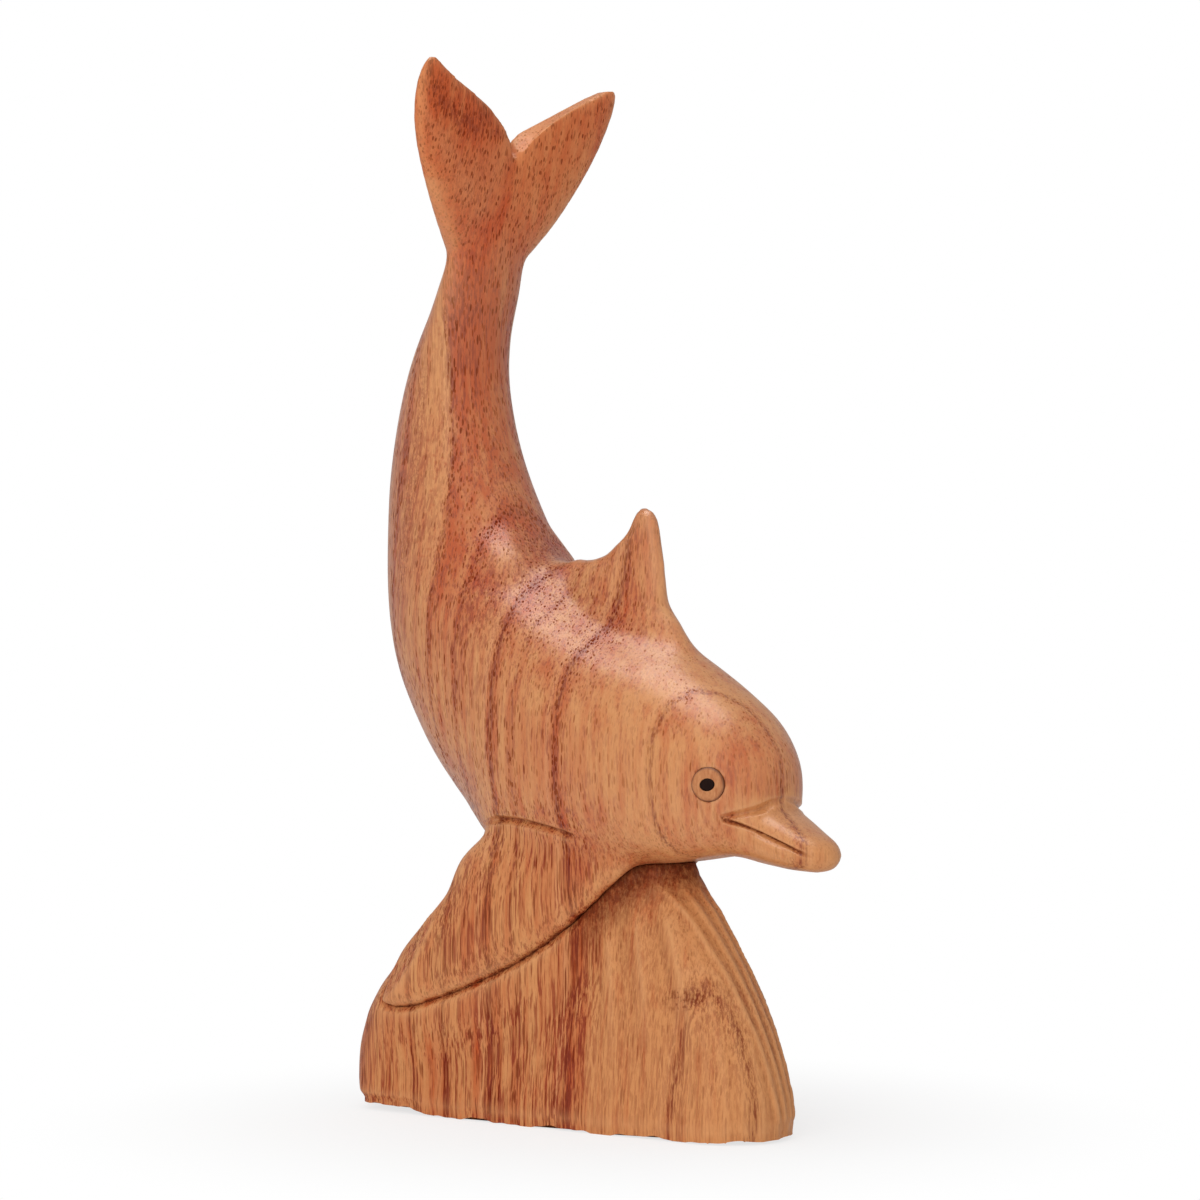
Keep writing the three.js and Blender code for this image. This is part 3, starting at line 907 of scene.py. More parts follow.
class Workpiece:
    """A mesh on the bench, with its points held as an array in millimetres."""

    def __init__(self, mesh: bpy.types.Mesh) -> None:
        """Takes over a plain mesh."""
        self.mesh = mesh
        self._read()

    @classmethod
    def from_node(cls, node: str, voxel: float, plugs: Sequence[bpy.types.Mesh] = ()) -> "Workpiece":
        """Copies a CAD node, merges its loose triangles and remeshes it evenly.

        Args:
            node: Name of the CAD node.
            voxel: Size of the even mesh's faces.
            plugs: Closed meshes that fill holes of the node.

        Returns:
            The workpiece.
        """
        shape = bmesh.new()
        shape.from_mesh(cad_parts[node].data)
        bmesh.ops.remove_doubles(shape, verts=shape.verts, dist=1e-6)
        for plug in plugs:
            shape.from_mesh(plug)
        mesh = bpy.data.meshes.new(f"{node}_blank")
        shape.to_mesh(mesh)
        shape.free()
        holder = placed(f"{node}_blank", mesh)
        remesh = holder.modifiers.new("even", "REMESH")
        remesh.mode = "VOXEL"
        remesh.voxel_size = voxel / METRE
        even = cls._applied(holder)
        bpy.data.objects.remove(holder)
        return cls(even)

    @staticmethod
    def _applied(holder: bpy.types.Object) -> bpy.types.Mesh:
        """Mesh of an object with its modifiers applied."""
        graph = bpy.context.evaluated_depsgraph_get()
        return bpy.data.meshes.new_from_object(holder.evaluated_get(graph))

    def _read(self) -> None:
        """Reads points and edges from the mesh."""
        count = len(self.mesh.vertices)
        flat = np.empty(count * 3)
        self.mesh.vertices.foreach_get("co", flat)
        self.points = flat.reshape(-1, 3) * METRE
        ends = np.empty(len(self.mesh.edges) * 2, dtype=np.int64)
        self.mesh.edges.foreach_get("vertices", ends)
        self.ends = ends.reshape(-1, 2)
        self.links = np.bincount(ends, minlength=count).astype(float)

    def write(self) -> None:
        """Writes the points back to the mesh."""
        self.mesh.vertices.foreach_set("co", (self.points / METRE).ravel())
        self.mesh.update()

    @property
    def x(self) -> np.ndarray:
        """Points' distance towards the head."""
        return self.points[:, 0]

    @property
    def side(self) -> np.ndarray:
        """Points' distance from the middle plane."""
        return np.abs(self.points[:, 1])

    @property
    def z(self) -> np.ndarray:
        """Points' height."""
        return self.points[:, 2]

    def normals(self) -> np.ndarray:
        """Outward normals of the points.

        Returns:
            One row per point.
        """
        self.write()
        flat = np.empty(len(self.points) * 3)
        self.mesh.vertex_normals.foreach_get("vector", flat)
        return flat.reshape(-1, 3)

    def average(self, field_values: np.ndarray) -> np.ndarray:
        """Mean of each point's neighbours.

        Args:
            field_values: One row per point.

        Returns:
            The neighbours' mean, one row per point.
        """
        a, b = self.ends.T
        count = len(self.links)
        columns = []
        for column in field_values.reshape(count, -1).T:
            total = np.bincount(a, weights=column[b], minlength=count)
            columns.append(total + np.bincount(b, weights=column[a], minlength=count))
        return (np.array(columns).T / self.links[:, None]).reshape(field_values.shape)

    def relax(self, weight: np.ndarray | float, rounds: int) -> None:
        """Sands the surface: each point moves towards the mean of its neighbours.

        Args:
            weight: Share of the way to go, per point or for all.
            rounds: How often to go round.
        """
        share = np.broadcast_to(np.asarray(weight, dtype=float), (len(self.points),))[:, None] * 0.5
        for _ in range(rounds):
            self.points += share * (self.average(self.points) - self.points)

    def fill(self, weight: np.ndarray, rounds: int) -> None:
        """Fills hollows and inner corners with a smooth fillet and leaves raised forms alone.

        Args:
            weight: Share of the filling, per point.
            rounds: How often to go round.
        """
        for step in range(rounds):
            if step % 6 == 0:
                normals = self.normals()
            pull = self.average(self.points) - self.points
            rise = np.maximum((pull * normals).sum(1), 0.0)
            self.points += (weight * 0.9 * rise)[:, None] * normals

    def plane_off(
        self,
        through: Sequence[float],
        facing: Sequence[float],
        weight: np.ndarray,
        soft: float = 0.6,
    ) -> None:
        """Planes a flat facet: points that stand out past a plane go back to it.

        Args:
            through: Point of the plane.
            facing: Direction that the facet looks in.
            weight: Share of the cut, per point.
            soft: Depth over which the facet's edge is eased.
        """
        out = np.array(facing) / np.linalg.norm(facing)
        past = (self.points - np.array(through)) @ out
        cut = np.where(past > 0.0, past, 0.0) * smooth_step(-soft, soft, past)
        self.points -= (weight * cut)[:, None] * out

    def nudge(self, push: Nudge) -> None:
        """Pushes the surface round a place.

        Args:
            push: Where and how far.
        """
        for mirror in ((1.0, -1.0) if push.both and push.centre[1] != 0.0 else (1.0,)):
            flip = np.array([1.0, mirror, 1.0])
            distance = np.linalg.norm(self.points - np.array(push.centre) * flip, axis=1)
            self.points += smooth_step(push.reach, 0.0, distance)[:, None] * (np.array(push.shift) * flip)

    def trim(
        self,
        front: Sequence[tuple[float, float]],
        back: Sequence[tuple[float, float]],
        depths: tuple[float, float],
        weight: np.ndarray,
    ) -> None:
        """Cuts the top off along two profiles that are seen from the front.

        Args:
            front: Y and the greatest Z there, in order of Y, at the front.
            back: The same at the back.
            depths: X of the front and of the back.
            weight: Share of the cut, per point.
        """
        near, far = (np.interp(self.points[:, 1], *zip(*profile)) for profile in (front, back))
        share = np.clip((self.x - depths[0]) / (depths[1] - depths[0]), 0.0, 1.0)
        limit = near + (far - near) * share
        self.points[:, 2] -= weight * np.maximum(self.points[:, 2] - limit, 0.0)

    def ease_seam(self, other: "Workpiece", reach: float, depth: float, until: float) -> None:
        """Rounds the edge that meets another workpiece.

        Args:
            other: The neighbour.
            reach: How far from the neighbour the rounding starts.
            depth: How far the edge goes back.
            until: X at which the rounding has faded out.
        """
        waver = 1.0 + 0.5 * np.sin(self.x * 1.9) * np.sin(self.x * 0.77 + 1.0)
        share = depth * waver * nearness(self, other, reach) * smooth_step(until, until - 8.0, self.x)
        self.points -= share[:, None] * self.normals()

    def meet(self, other: "Workpiece", reach: float, gap: float, weight: np.ndarray) -> None:
        """Brings an edge up to a neighbour, so that no open gap is seen.

        Args:
            other: The neighbour.
            reach: Distance from which points are left alone.
            gap: Distance that is kept.
            weight: Share of the move, per point.
        """
        tree = other.tree()
        for index in np.nonzero(weight > 0.01)[0]:
            place, _, distance = tree.find(self.points[index])
            if gap < distance < reach:
                share = weight[index] * min(1.0, 1.7 * (1.0 - distance / reach))
                way = np.array(place) - self.points[index]
                self.points[index] += way * (1.0 - gap / distance) * share

    def tree(self) -> KDTree:
        """Search tree over the points."""
        return search_tree(self.points)

    def lay(self, path: Sequence[Point]) -> tuple[Point, ...]:
        """Moves the points of a path onto the nearest points of the surface.

        Args:
            path: The points.

        Returns:
            The path on the surface.
        """
        nearest = (np.argmin(((self.points - np.array(spot)) ** 2).sum(1)) for spot in path)
        return tuple(tuple(float(v) for v in self.points[index]) for index in nearest)

    def lay_front(self, path: Sequence[Point]) -> tuple[Point, ...]:
        """Moves the points of a path along X onto the front of the surface.

        Args:
            path: The points.

        Returns:
            The path on the surface.
        """
        front = self.points[self.normals()[:, 0] > 0.1]
        nearest = (np.argmin(((front[:, 1:] - np.array(spot[1:])) ** 2).sum(1)) for spot in path)
        return tuple(tuple(float(v) for v in front[index]) for index in nearest)

    def along(self, line: "CarvedLine", reach: float) -> np.ndarray:
        """Finds the points along a line and, where the line is mirrored, along its mirror image.

        Args:
            line: The line.
            reach: Greatest distance from it.

        Returns:
            True for each point that is close enough.
        """
        seen = self.points * MIRROR if line.mirrored else self.points
        chosen = np.zeros(len(self.points), dtype=bool)
        for spot in line.samples():
            for place in (self.points, seen):
                chosen |= ((place - spot) ** 2).sum(1) < reach**2
        return chosen

    def refine(self, chosen: np.ndarray) -> None:
        """Splits the faces round the chosen points into smaller ones.

        Args:
            chosen: True for each point to work on.
        """
        self.write()
        shape = bmesh.new()
        shape.from_mesh(self.mesh)
        edges = [e for e in shape.edges if chosen[e.verts[0].index] and chosen[e.verts[1].index]]
        bmesh.ops.subdivide_edges(shape, edges=edges, cuts=1, use_grid_fill=True)
        shape.to_mesh(self.mesh)
        shape.free()
        self._read()

    def square_foot(self, drop: float, rim: float) -> None:
        """Cuts the underside flat at height 0, which leaves a sharp edge round it.

        Args:
            drop: How far the rounded bottom edge is drawn down before the cut.
            rim: Breadth of the strip inside the edge that may be chipped.
        """
        self.points[:, 2] -= drop * smooth_step(2.5, 0.8, self.z)
        self.write()
        shape = bmesh.new()
        shape.from_mesh(self.mesh)
        everything = [*shape.verts, *shape.edges, *shape.faces]
        cut = bmesh.ops.bisect_plane(shape, geom=everything, plane_no=(0.0, 0.0, 1.0), clear_inner=True)
        edges = [item for item in cut["geom_cut"] if isinstance(item, bmesh.types.BMEdge)]
        sole = bmesh.ops.edgeloop_fill(shape, edges=edges)["faces"]
        for edge in edges:
            edge.smooth = False
        bmesh.ops.inset_region(shape, faces=sole, thickness=rim / METRE)
        bmesh.ops.recalc_face_normals(shape, faces=shape.faces)
        shape.to_mesh(self.mesh)
        shape.free()
        self._read()

    def bored(self, cutters: Sequence[bpy.types.Object]) -> None:
        """Bores holes with closed cutters.

        Args:
            cutters: Objects to take away; they are removed afterwards.
        """
        self.write()
        holder = placed("bench", self.mesh)
        for cutter in cutters:
            bore = holder.modifiers.new("bore", "BOOLEAN")
            bore.operation = "DIFFERENCE"
            bore.solver = "EXACT"
            bore.object = cutter
        self.mesh = self._applied(holder)
        bpy.data.objects.remove(holder)
        for cutter in cutters:
            bpy.data.objects.remove(cutter)
        self._read()

    def carved(self, tool: "CarvedLine", material: bpy.types.Material) -> None:
        """Runs a carving tree over the mesh.

        Args:
            tool: The line to carve.
            material: Finish that the tree sets.
        """
        self.write()
        holder = placed("bench", self.mesh)
        path = tool.path_object()
        tool.attach(holder, path, material)
        self.mesh = self._applied(holder)
        holder.modifiers.clear()
        bpy.data.objects.remove(holder)
        bpy.data.objects.remove(path)
        self._read()

    def relief(self, rounds: int, scale: float) -> np.ndarray:
        """How hollow the surface is at each point, against a sanded copy of itself.

        Args:
            rounds: Sanding rounds of the copy.
            scale: Hollow's depth that counts as 1.

        Returns:
            Positive numbers in hollows and negative ones on ridges.
        """
        normals = self.normals()
        kept = self.points.copy()
        self.relax(1.0, rounds)
        hollow = ((self.points - kept) * normals).sum(1) / scale
        self.points = kept
        return hollow

    def finished(self, name: str, material: bpy.types.Material, relief: np.ndarray) -> bpy.types.Object:
        """Turns the workpiece into the piece that is shown.

        Args:
            name: The piece's name.
            material: Its finish.
            relief: Hollowness per point, which the finish reads as painted shade and painted highlight.

        Returns:
            The piece.
        """
        self.write()
        mesh = self.mesh
        mesh.name = name
        mesh.materials.clear()
        mesh.materials.append(material)
        for old in [a.name for a in mesh.attributes if a.name == "relief"]:
            mesh.attributes.remove(mesh.attributes[old])
        mesh.attributes.new("relief", "FLOAT", "POINT").data.foreach_set("value", relief.astype(np.float32))
        mesh.polygons.foreach_set("use_smooth", np.ones(len(mesh.polygons), dtype=bool))
        mesh.update()
        return placed(name, mesh)


@dataclass(frozen=True)
class CarvedLine:
    """A line cut with a gouge or a knife, which follows a path over a surface.

    A negative depth leaves a ridge standing instead.
    """

    path: tuple[Point, ...]
    width: float
    depth: float
    sharpness: float = 1.0
    fade_in: float = 0.15
    fade_out: float = 0.15
    mirrored: bool = True

    def path_object(self) -> bpy.types.Object:
        """Makes the path, and its mirror image if wanted, as chains of edges that carry the cut's depth.

        Returns:
            A helper object, to be removed after use.
        """
        line = self.samples()
        share = np.linspace(0.0, 1.0, len(line))
        depth = smooth_step(0.0, max(self.fade_in, 1e-3), share)
        depth = depth * smooth_step(1.0, 1.0 - max(self.fade_out, 1e-3), share)
        chains = [line, line * MIRROR] if self.mirrored else [line]
        count = len(line)
        edges = [(i, i + 1) for i in range(count * len(chains) - 1) if i % count != count - 1]
        mesh = bpy.data.meshes.new("cut_path")
        mesh.from_pydata((np.vstack(chains) / METRE).tolist(), edges, [])
        levels = np.tile(depth, len(chains)).astype(np.float32)
        mesh.attributes.new("cut", "FLOAT", "POINT").data.foreach_set("value", levels)
        return placed("cut_path", mesh)

    def samples(self) -> np.ndarray:
        """Reads closely spaced points along the path.

        Returns:
            The points, one row each.
        """
        corners = np.array(self.path)
        steps = np.linspace(0.0, len(corners) - 1.0, 12 * len(corners))
        return np.stack([self._spline(corners[:, axis], steps) for axis in range(3)], axis=1)

    @staticmethod
    def _spline(values: np.ndarray, steps: np.ndarray) -> np.ndarray:
        """Draws a smooth curve through values.

        Args:
            values: Values at the whole steps.
            steps: Fractional steps to read.

        Returns:
            The curve's values there.
        """
        last = len(values) - 1
        low = np.clip(np.floor(steps).astype(int), 0, last - 1)
        t = steps - low
        before, after = np.maximum(low - 1, 0), np.minimum(low + 2, last)
        p0, p1, p2, p3 = values[before], values[low], values[low + 1], values[after]
        return 0.5 * (2 * p1 + (p2 - p0) * t + (2 * p0 - 5 * p1 + 4 * p2 - p3) * t**2
                      + (3 * p1 - p0 - 3 * p2 + p3) * t**3)

    @staticmethod
    def tree() -> bpy.types.NodeTree:
        """The geometry tree that presses a surface in along a path, made once.

        Returns:
            The tree.
        """
        name = "carved_line"
        if name in bpy.data.node_groups:
            return bpy.data.node_groups[name]
        tree = bpy.data.node_groups.new(name, "GeometryNodeTree")
        face = tree.interface
        face.new_socket("Geometry", in_out="INPUT", socket_type="NodeSocketGeometry")
        face.new_socket("Path", in_out="INPUT", socket_type="NodeSocketObject")
        for label in ("Width", "Depth", "Sharpness"):
            face.new_socket(label, in_out="INPUT", socket_type="NodeSocketFloat")
        face.new_socket("Finish", in_out="INPUT", socket_type="NodeSocketMaterial")
        face.new_socket("Geometry", in_out="OUTPUT", socket_type="NodeSocketGeometry")
        sheet = NodeSheet(tree)
        given = sheet.add("NodeGroupInput").outputs
        path = sheet.add("GeometryNodeObjectInfo", None, {"Object": given["Path"]}).outputs["Geometry"]
        near = sheet.add("GeometryNodeProximity", {"target_element": "EDGES"})
        sheet.feed(near.inputs[0], path)
        closest = sheet.add("GeometryNodeSampleNearest", {"domain": "POINT"}, {0: path})
        cut = sheet.add("GeometryNodeInputNamedAttribute", {"data_type": "FLOAT"}, {"Name": "cut"})
        level = sheet.add("GeometryNodeSampleIndex", {"data_type": "FLOAT", "domain": "POINT"})
        sheet.feed(level.inputs["Geometry"], path)
        sheet.feed(level.inputs["Value"], cut.outputs[0])
        sheet.feed(level.inputs["Index"], closest.outputs[0])
        distance = Value(sheet, near.outputs["Distance"])
        width, depth = Value(sheet, given["Width"]), Value(sheet, given["Depth"])
        press = (1.0 - distance / width).above(0.0) ** Value(sheet, given["Sharpness"])
        press = press * depth * Value(sheet, level.outputs[0]) * -1.0
        normal = sheet.add("GeometryNodeInputNormal").outputs[0]
        shift = sheet.add("ShaderNodeVectorMath", {"operation": "SCALE"},
                          {"Vector": normal, "Scale": press})
        moved = sheet.add("GeometryNodeSetPosition", None,
                          {"Geometry": given["Geometry"], "Offset": shift.outputs[0]})
        real = sheet.add("GeometryNodeRealizeInstances", None, {"Geometry": moved.outputs[0]})
        dressed = sheet.add("GeometryNodeSetMaterial", None,
                            {"Geometry": real.outputs[0], "Material": given["Finish"]})
        sheet.feed(sheet.add("NodeGroupOutput").inputs[0], dressed.outputs[0])
        return tree

    def attach(
        self,
        holder: bpy.types.Object,
        path: bpy.types.Object,
        material: bpy.types.Material,
    ) -> None:
        """Adds the carving tree to an object as a modifier.

        Args:
            holder: Object to carve.
            path: The line to follow.
            material: Finish that the tree sets.
        """
        tree = self.tree()
        modifier = holder.modifiers.new("carve", "NODES")
        modifier.node_group = tree
        sizes = {
            "Path": path,
            "Width": self.width / METRE,
            "Depth": self.depth / METRE,
            "Sharpness": self.sharpness,
            "Finish": material,
        }
        for item in tree.interface.items_tree:
            if item.in_out == "INPUT" and item.name in sizes:
                modifier[item.identifier] = sizes[item.name]


def turned(
    profile: Sequence[tuple[float, float]],
    centre: Vector,
    axis: Vector,
    name: str,
    sides: int = 72,
) -> bpy.types.Mesh:
    """Turns a profile round an axis into a closed mesh.

    Args:
        profile: Radius and height of each point, from the axis at the bottom to the axis at the top.
        centre: Where height 0 is.
        axis: The way up.
        name: Name of the mesh.
        sides: Number of sides.

    Returns:
        The mesh, in metres.
    """
    shape = bmesh.new()
    turn = axis.to_track_quat("Z", "Y")
    rings = []
    for radius, height in profile:
        count = 1 if radius == 0.0 else sides
        ring = []
        for i in range(count):
            angle = 2.0 * math.pi * i / sides
            local = Vector((radius * math.cos(angle), radius * math.sin(angle), height))
            ring.append(shape.verts.new((centre + turn @ local) / METRE))
        rings.append(ring)
    for low, high in zip(rings, rings[1:]):
        for i in range(sides):
            j = (i + 1) % sides
            corners = [low[i % len(low)], low[j % len(low)], high[j % len(high)], high[i % len(high)]]
            shape.faces.new(list(dict.fromkeys(corners)))
    bmesh.ops.recalc_face_normals(shape, faces=shape.faces)
    mesh = bpy.data.meshes.new(name)
    shape.to_mesh(mesh)
    shape.free()
    return mesh


@dataclass
class Eye:
    """A turned wooden disc let into the head, with a dark pupil plugged into it.

    Attributes:
        side: Side of the head.
        radius: Radius of the disc.
        length: Depth to which the disc is let in.
        dome: Height of its domed face.
        socket_radius: Radius of the hole in the head.
        pupil_radius: Half the pupil's breadth.
        pupil_height: Its height, as a share of its breadth.
        pupil_tilt: How far it leans, in degrees.
        pupil_depth: Depth to which it is let in.
        centre: Middle of the disc, level with its edge.
        axis: The way out of the head.
    """

    side: Side
    radius: float = 3.1
    length: float = 4.4
    dome: float = 0.3
    socket_radius: float = 3.14
    pupil_radius: float = 1.4
    pupil_height: float = 0.78
    pupil_tilt: float = 12.0
    pupil_depth: float = 2.2
    centre: Vector = field(init=False)
    axis: Vector = field(init=False)

    def __post_init__(self) -> None:
        """Finds the eye's place from its CAD nodes."""
        disc, pupil = (self._middle(f"{self.label}_{part}") for part in ("eye_disc", "pupil"))
        self.axis = (pupil - disc).normalized()
        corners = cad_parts[f"{self.label}_eye_disc"].data.vertices
        top = max((v.co * METRE - disc).dot(self.axis) for v in corners)
        self.centre = disc + self.axis * (top - self.dome)

    @property
    def label(self) -> str:
        """left or right."""
        return self.side.name.lower()

    @staticmethod
    def _middle(node: str) -> Vector:
        """Mean of a node's points."""
        points = [v.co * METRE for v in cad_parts[node].data.vertices]
        return sum(points, Vector()) / len(points)

    def rim(self, points: np.ndarray) -> np.ndarray:
        """How near points lie to the socket's edge, unevenly round it, as a hand-cut edge is.

        Args:
            points: Places in millimetres, one row each.

        Returns:
            Up to 1 on the edge and 0 away from it.
        """
        offset = points - np.array(self.centre)
        height = offset @ np.array(self.axis)
        flat = offset - height[:, None] * np.array(self.axis)
        turn = np.arctan2(flat[:, 2], flat[:, 0])
        uneven = np.clip(0.45 + 0.5 * np.sin(3.0 * turn + 1.0) + 0.4 * np.sin(7.0 * turn), 0.0, 1.0)
        away = np.abs(np.linalg.norm(flat, axis=1) - self.socket_radius)
        return uneven * smooth_step(0.8, 0.0, away) * (np.abs(height) < 1.5)

    @property
    def bore(self) -> float:
        """Radius of the pupil's hole."""
        return self.pupil_radius + 0.06

    def plug(self) -> bpy.types.Mesh:
        """Makes a filler for the CAD socket, which is bored again once the head is carved.

        Returns:
            A closed mesh.
        """
        reach, bottom = self.socket_radius + 0.6, -self.length - 1.5
        profile = [(0.0, bottom), (reach, bottom), (reach, -0.45), (0.0, -0.2)]
        return turned(profile, self.centre, self.axis, "eye_plug", 32)

    def cutter(self) -> bpy.types.Object:
        """Makes a drill for the eye's socket.

        Returns:
            A helper object, to be removed after use.
        """
        reach, bottom, top = self.socket_radius, -self.length - 0.3, 4.0
        profile = [(0.0, bottom), (reach, bottom), (reach, top), (0.0, top)]
        return placed("drill", turned(profile, self.centre, self.axis, "drill"))

    def _outlines(self) -> tuple[list[tuple[float, float]], list[tuple[float, float]]]:
        """Draws the outlines that the disc and the pupil are turned to.

        Returns:
            Radius and height of the disc's points and of the pupil's.
        """
        r, p, bore, dome = self.radius, self.pupil_radius, self.bore, self.dome
        seat = dome - self.pupil_depth
        disc = [(0.0, -self.length), (r, -self.length), (r, -0.2), (r - 0.1, -0.1), (r - 0.4, 0.02)]
        disc += [(r * share, dome * (1.0 - share**2)) for share in (0.78, 0.65)]
        disc += [(bore + 0.12, dome * 0.8), (bore, dome * 0.7), (bore, seat), (0.0, seat)]
        pupil = [(0.0, seat + 0.05), (p, seat + 0.05), (p, dome * 0.4), (p - 0.12, dome * 0.7)]
        pupil += [(p * 0.5, dome * 0.9), (0.0, dome * 0.95)]
        return disc, pupil

    def _worked(self, work: Workpiece) -> np.ndarray:
        """Flattens the pupil and its hole into an oval and wears the disc's edge.

        Args:
            work: The turned disc or pupil.

        Returns:
            How low each point lies under the head's surface, from 0 to 1, which the disc's finish paints as
            shade.
        """
        axis = np.array(self.axis)
        offset = work.points - np.array(self.centre)
        height = offset @ axis
        flat = offset - height[:, None] * axis
        spread = np.linalg.norm(flat, axis=1)
        lean = math.radians(self.pupil_tilt)
        upright = np.array([-math.sin(lean), 0.0, math.cos(lean)])
        upright -= (upright @ axis) * axis
        upright /= np.linalg.norm(upright)
        press = (1.0 - self.pupil_height) * smooth_step(self.radius * 0.65, self.bore + 0.14, spread)
        work.points -= (press * (offset @ upright))[:, None] * upright
        wear = 0.025 * self.rim(work.points) * (spread > self.radius - 0.2)
        work.points -= wear[:, None] * flat
        return smooth_step(0.06, -0.16, height)

    def build(
        self,
        disc_finish: bpy.types.Material,
        pupil_finish: bpy.types.Material,
    ) -> list[bpy.types.Object]:
        """Turns the disc and the pupil.

        Args:
            disc_finish: Wood of the disc.
            pupil_finish: Wood of the pupil.

        Returns:
            The two pieces.
        """
        disc, pupil = self._outlines()
        made = []
        for part, outline, finish, slot, recess_shade in (
            ("eye_disc", disc, disc_finish, "eye_wood", 1.0),
            ("pupil", pupil, pupil_finish, "pupil_wood", 0.0),
        ):
            name = f"{self.label}_{part}_inlay"
            work = Workpiece(turned(outline, self.centre, self.axis, name))
            # The disc's finish paints shade where it lies below the head's surface; the pupil gets none.
            piece = work.finished(name, finish, self._worked(work) * recess_shade)
            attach(piece, BODY)
            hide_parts(f"{self.label}_{part}")
            made.append(piece)
        return made


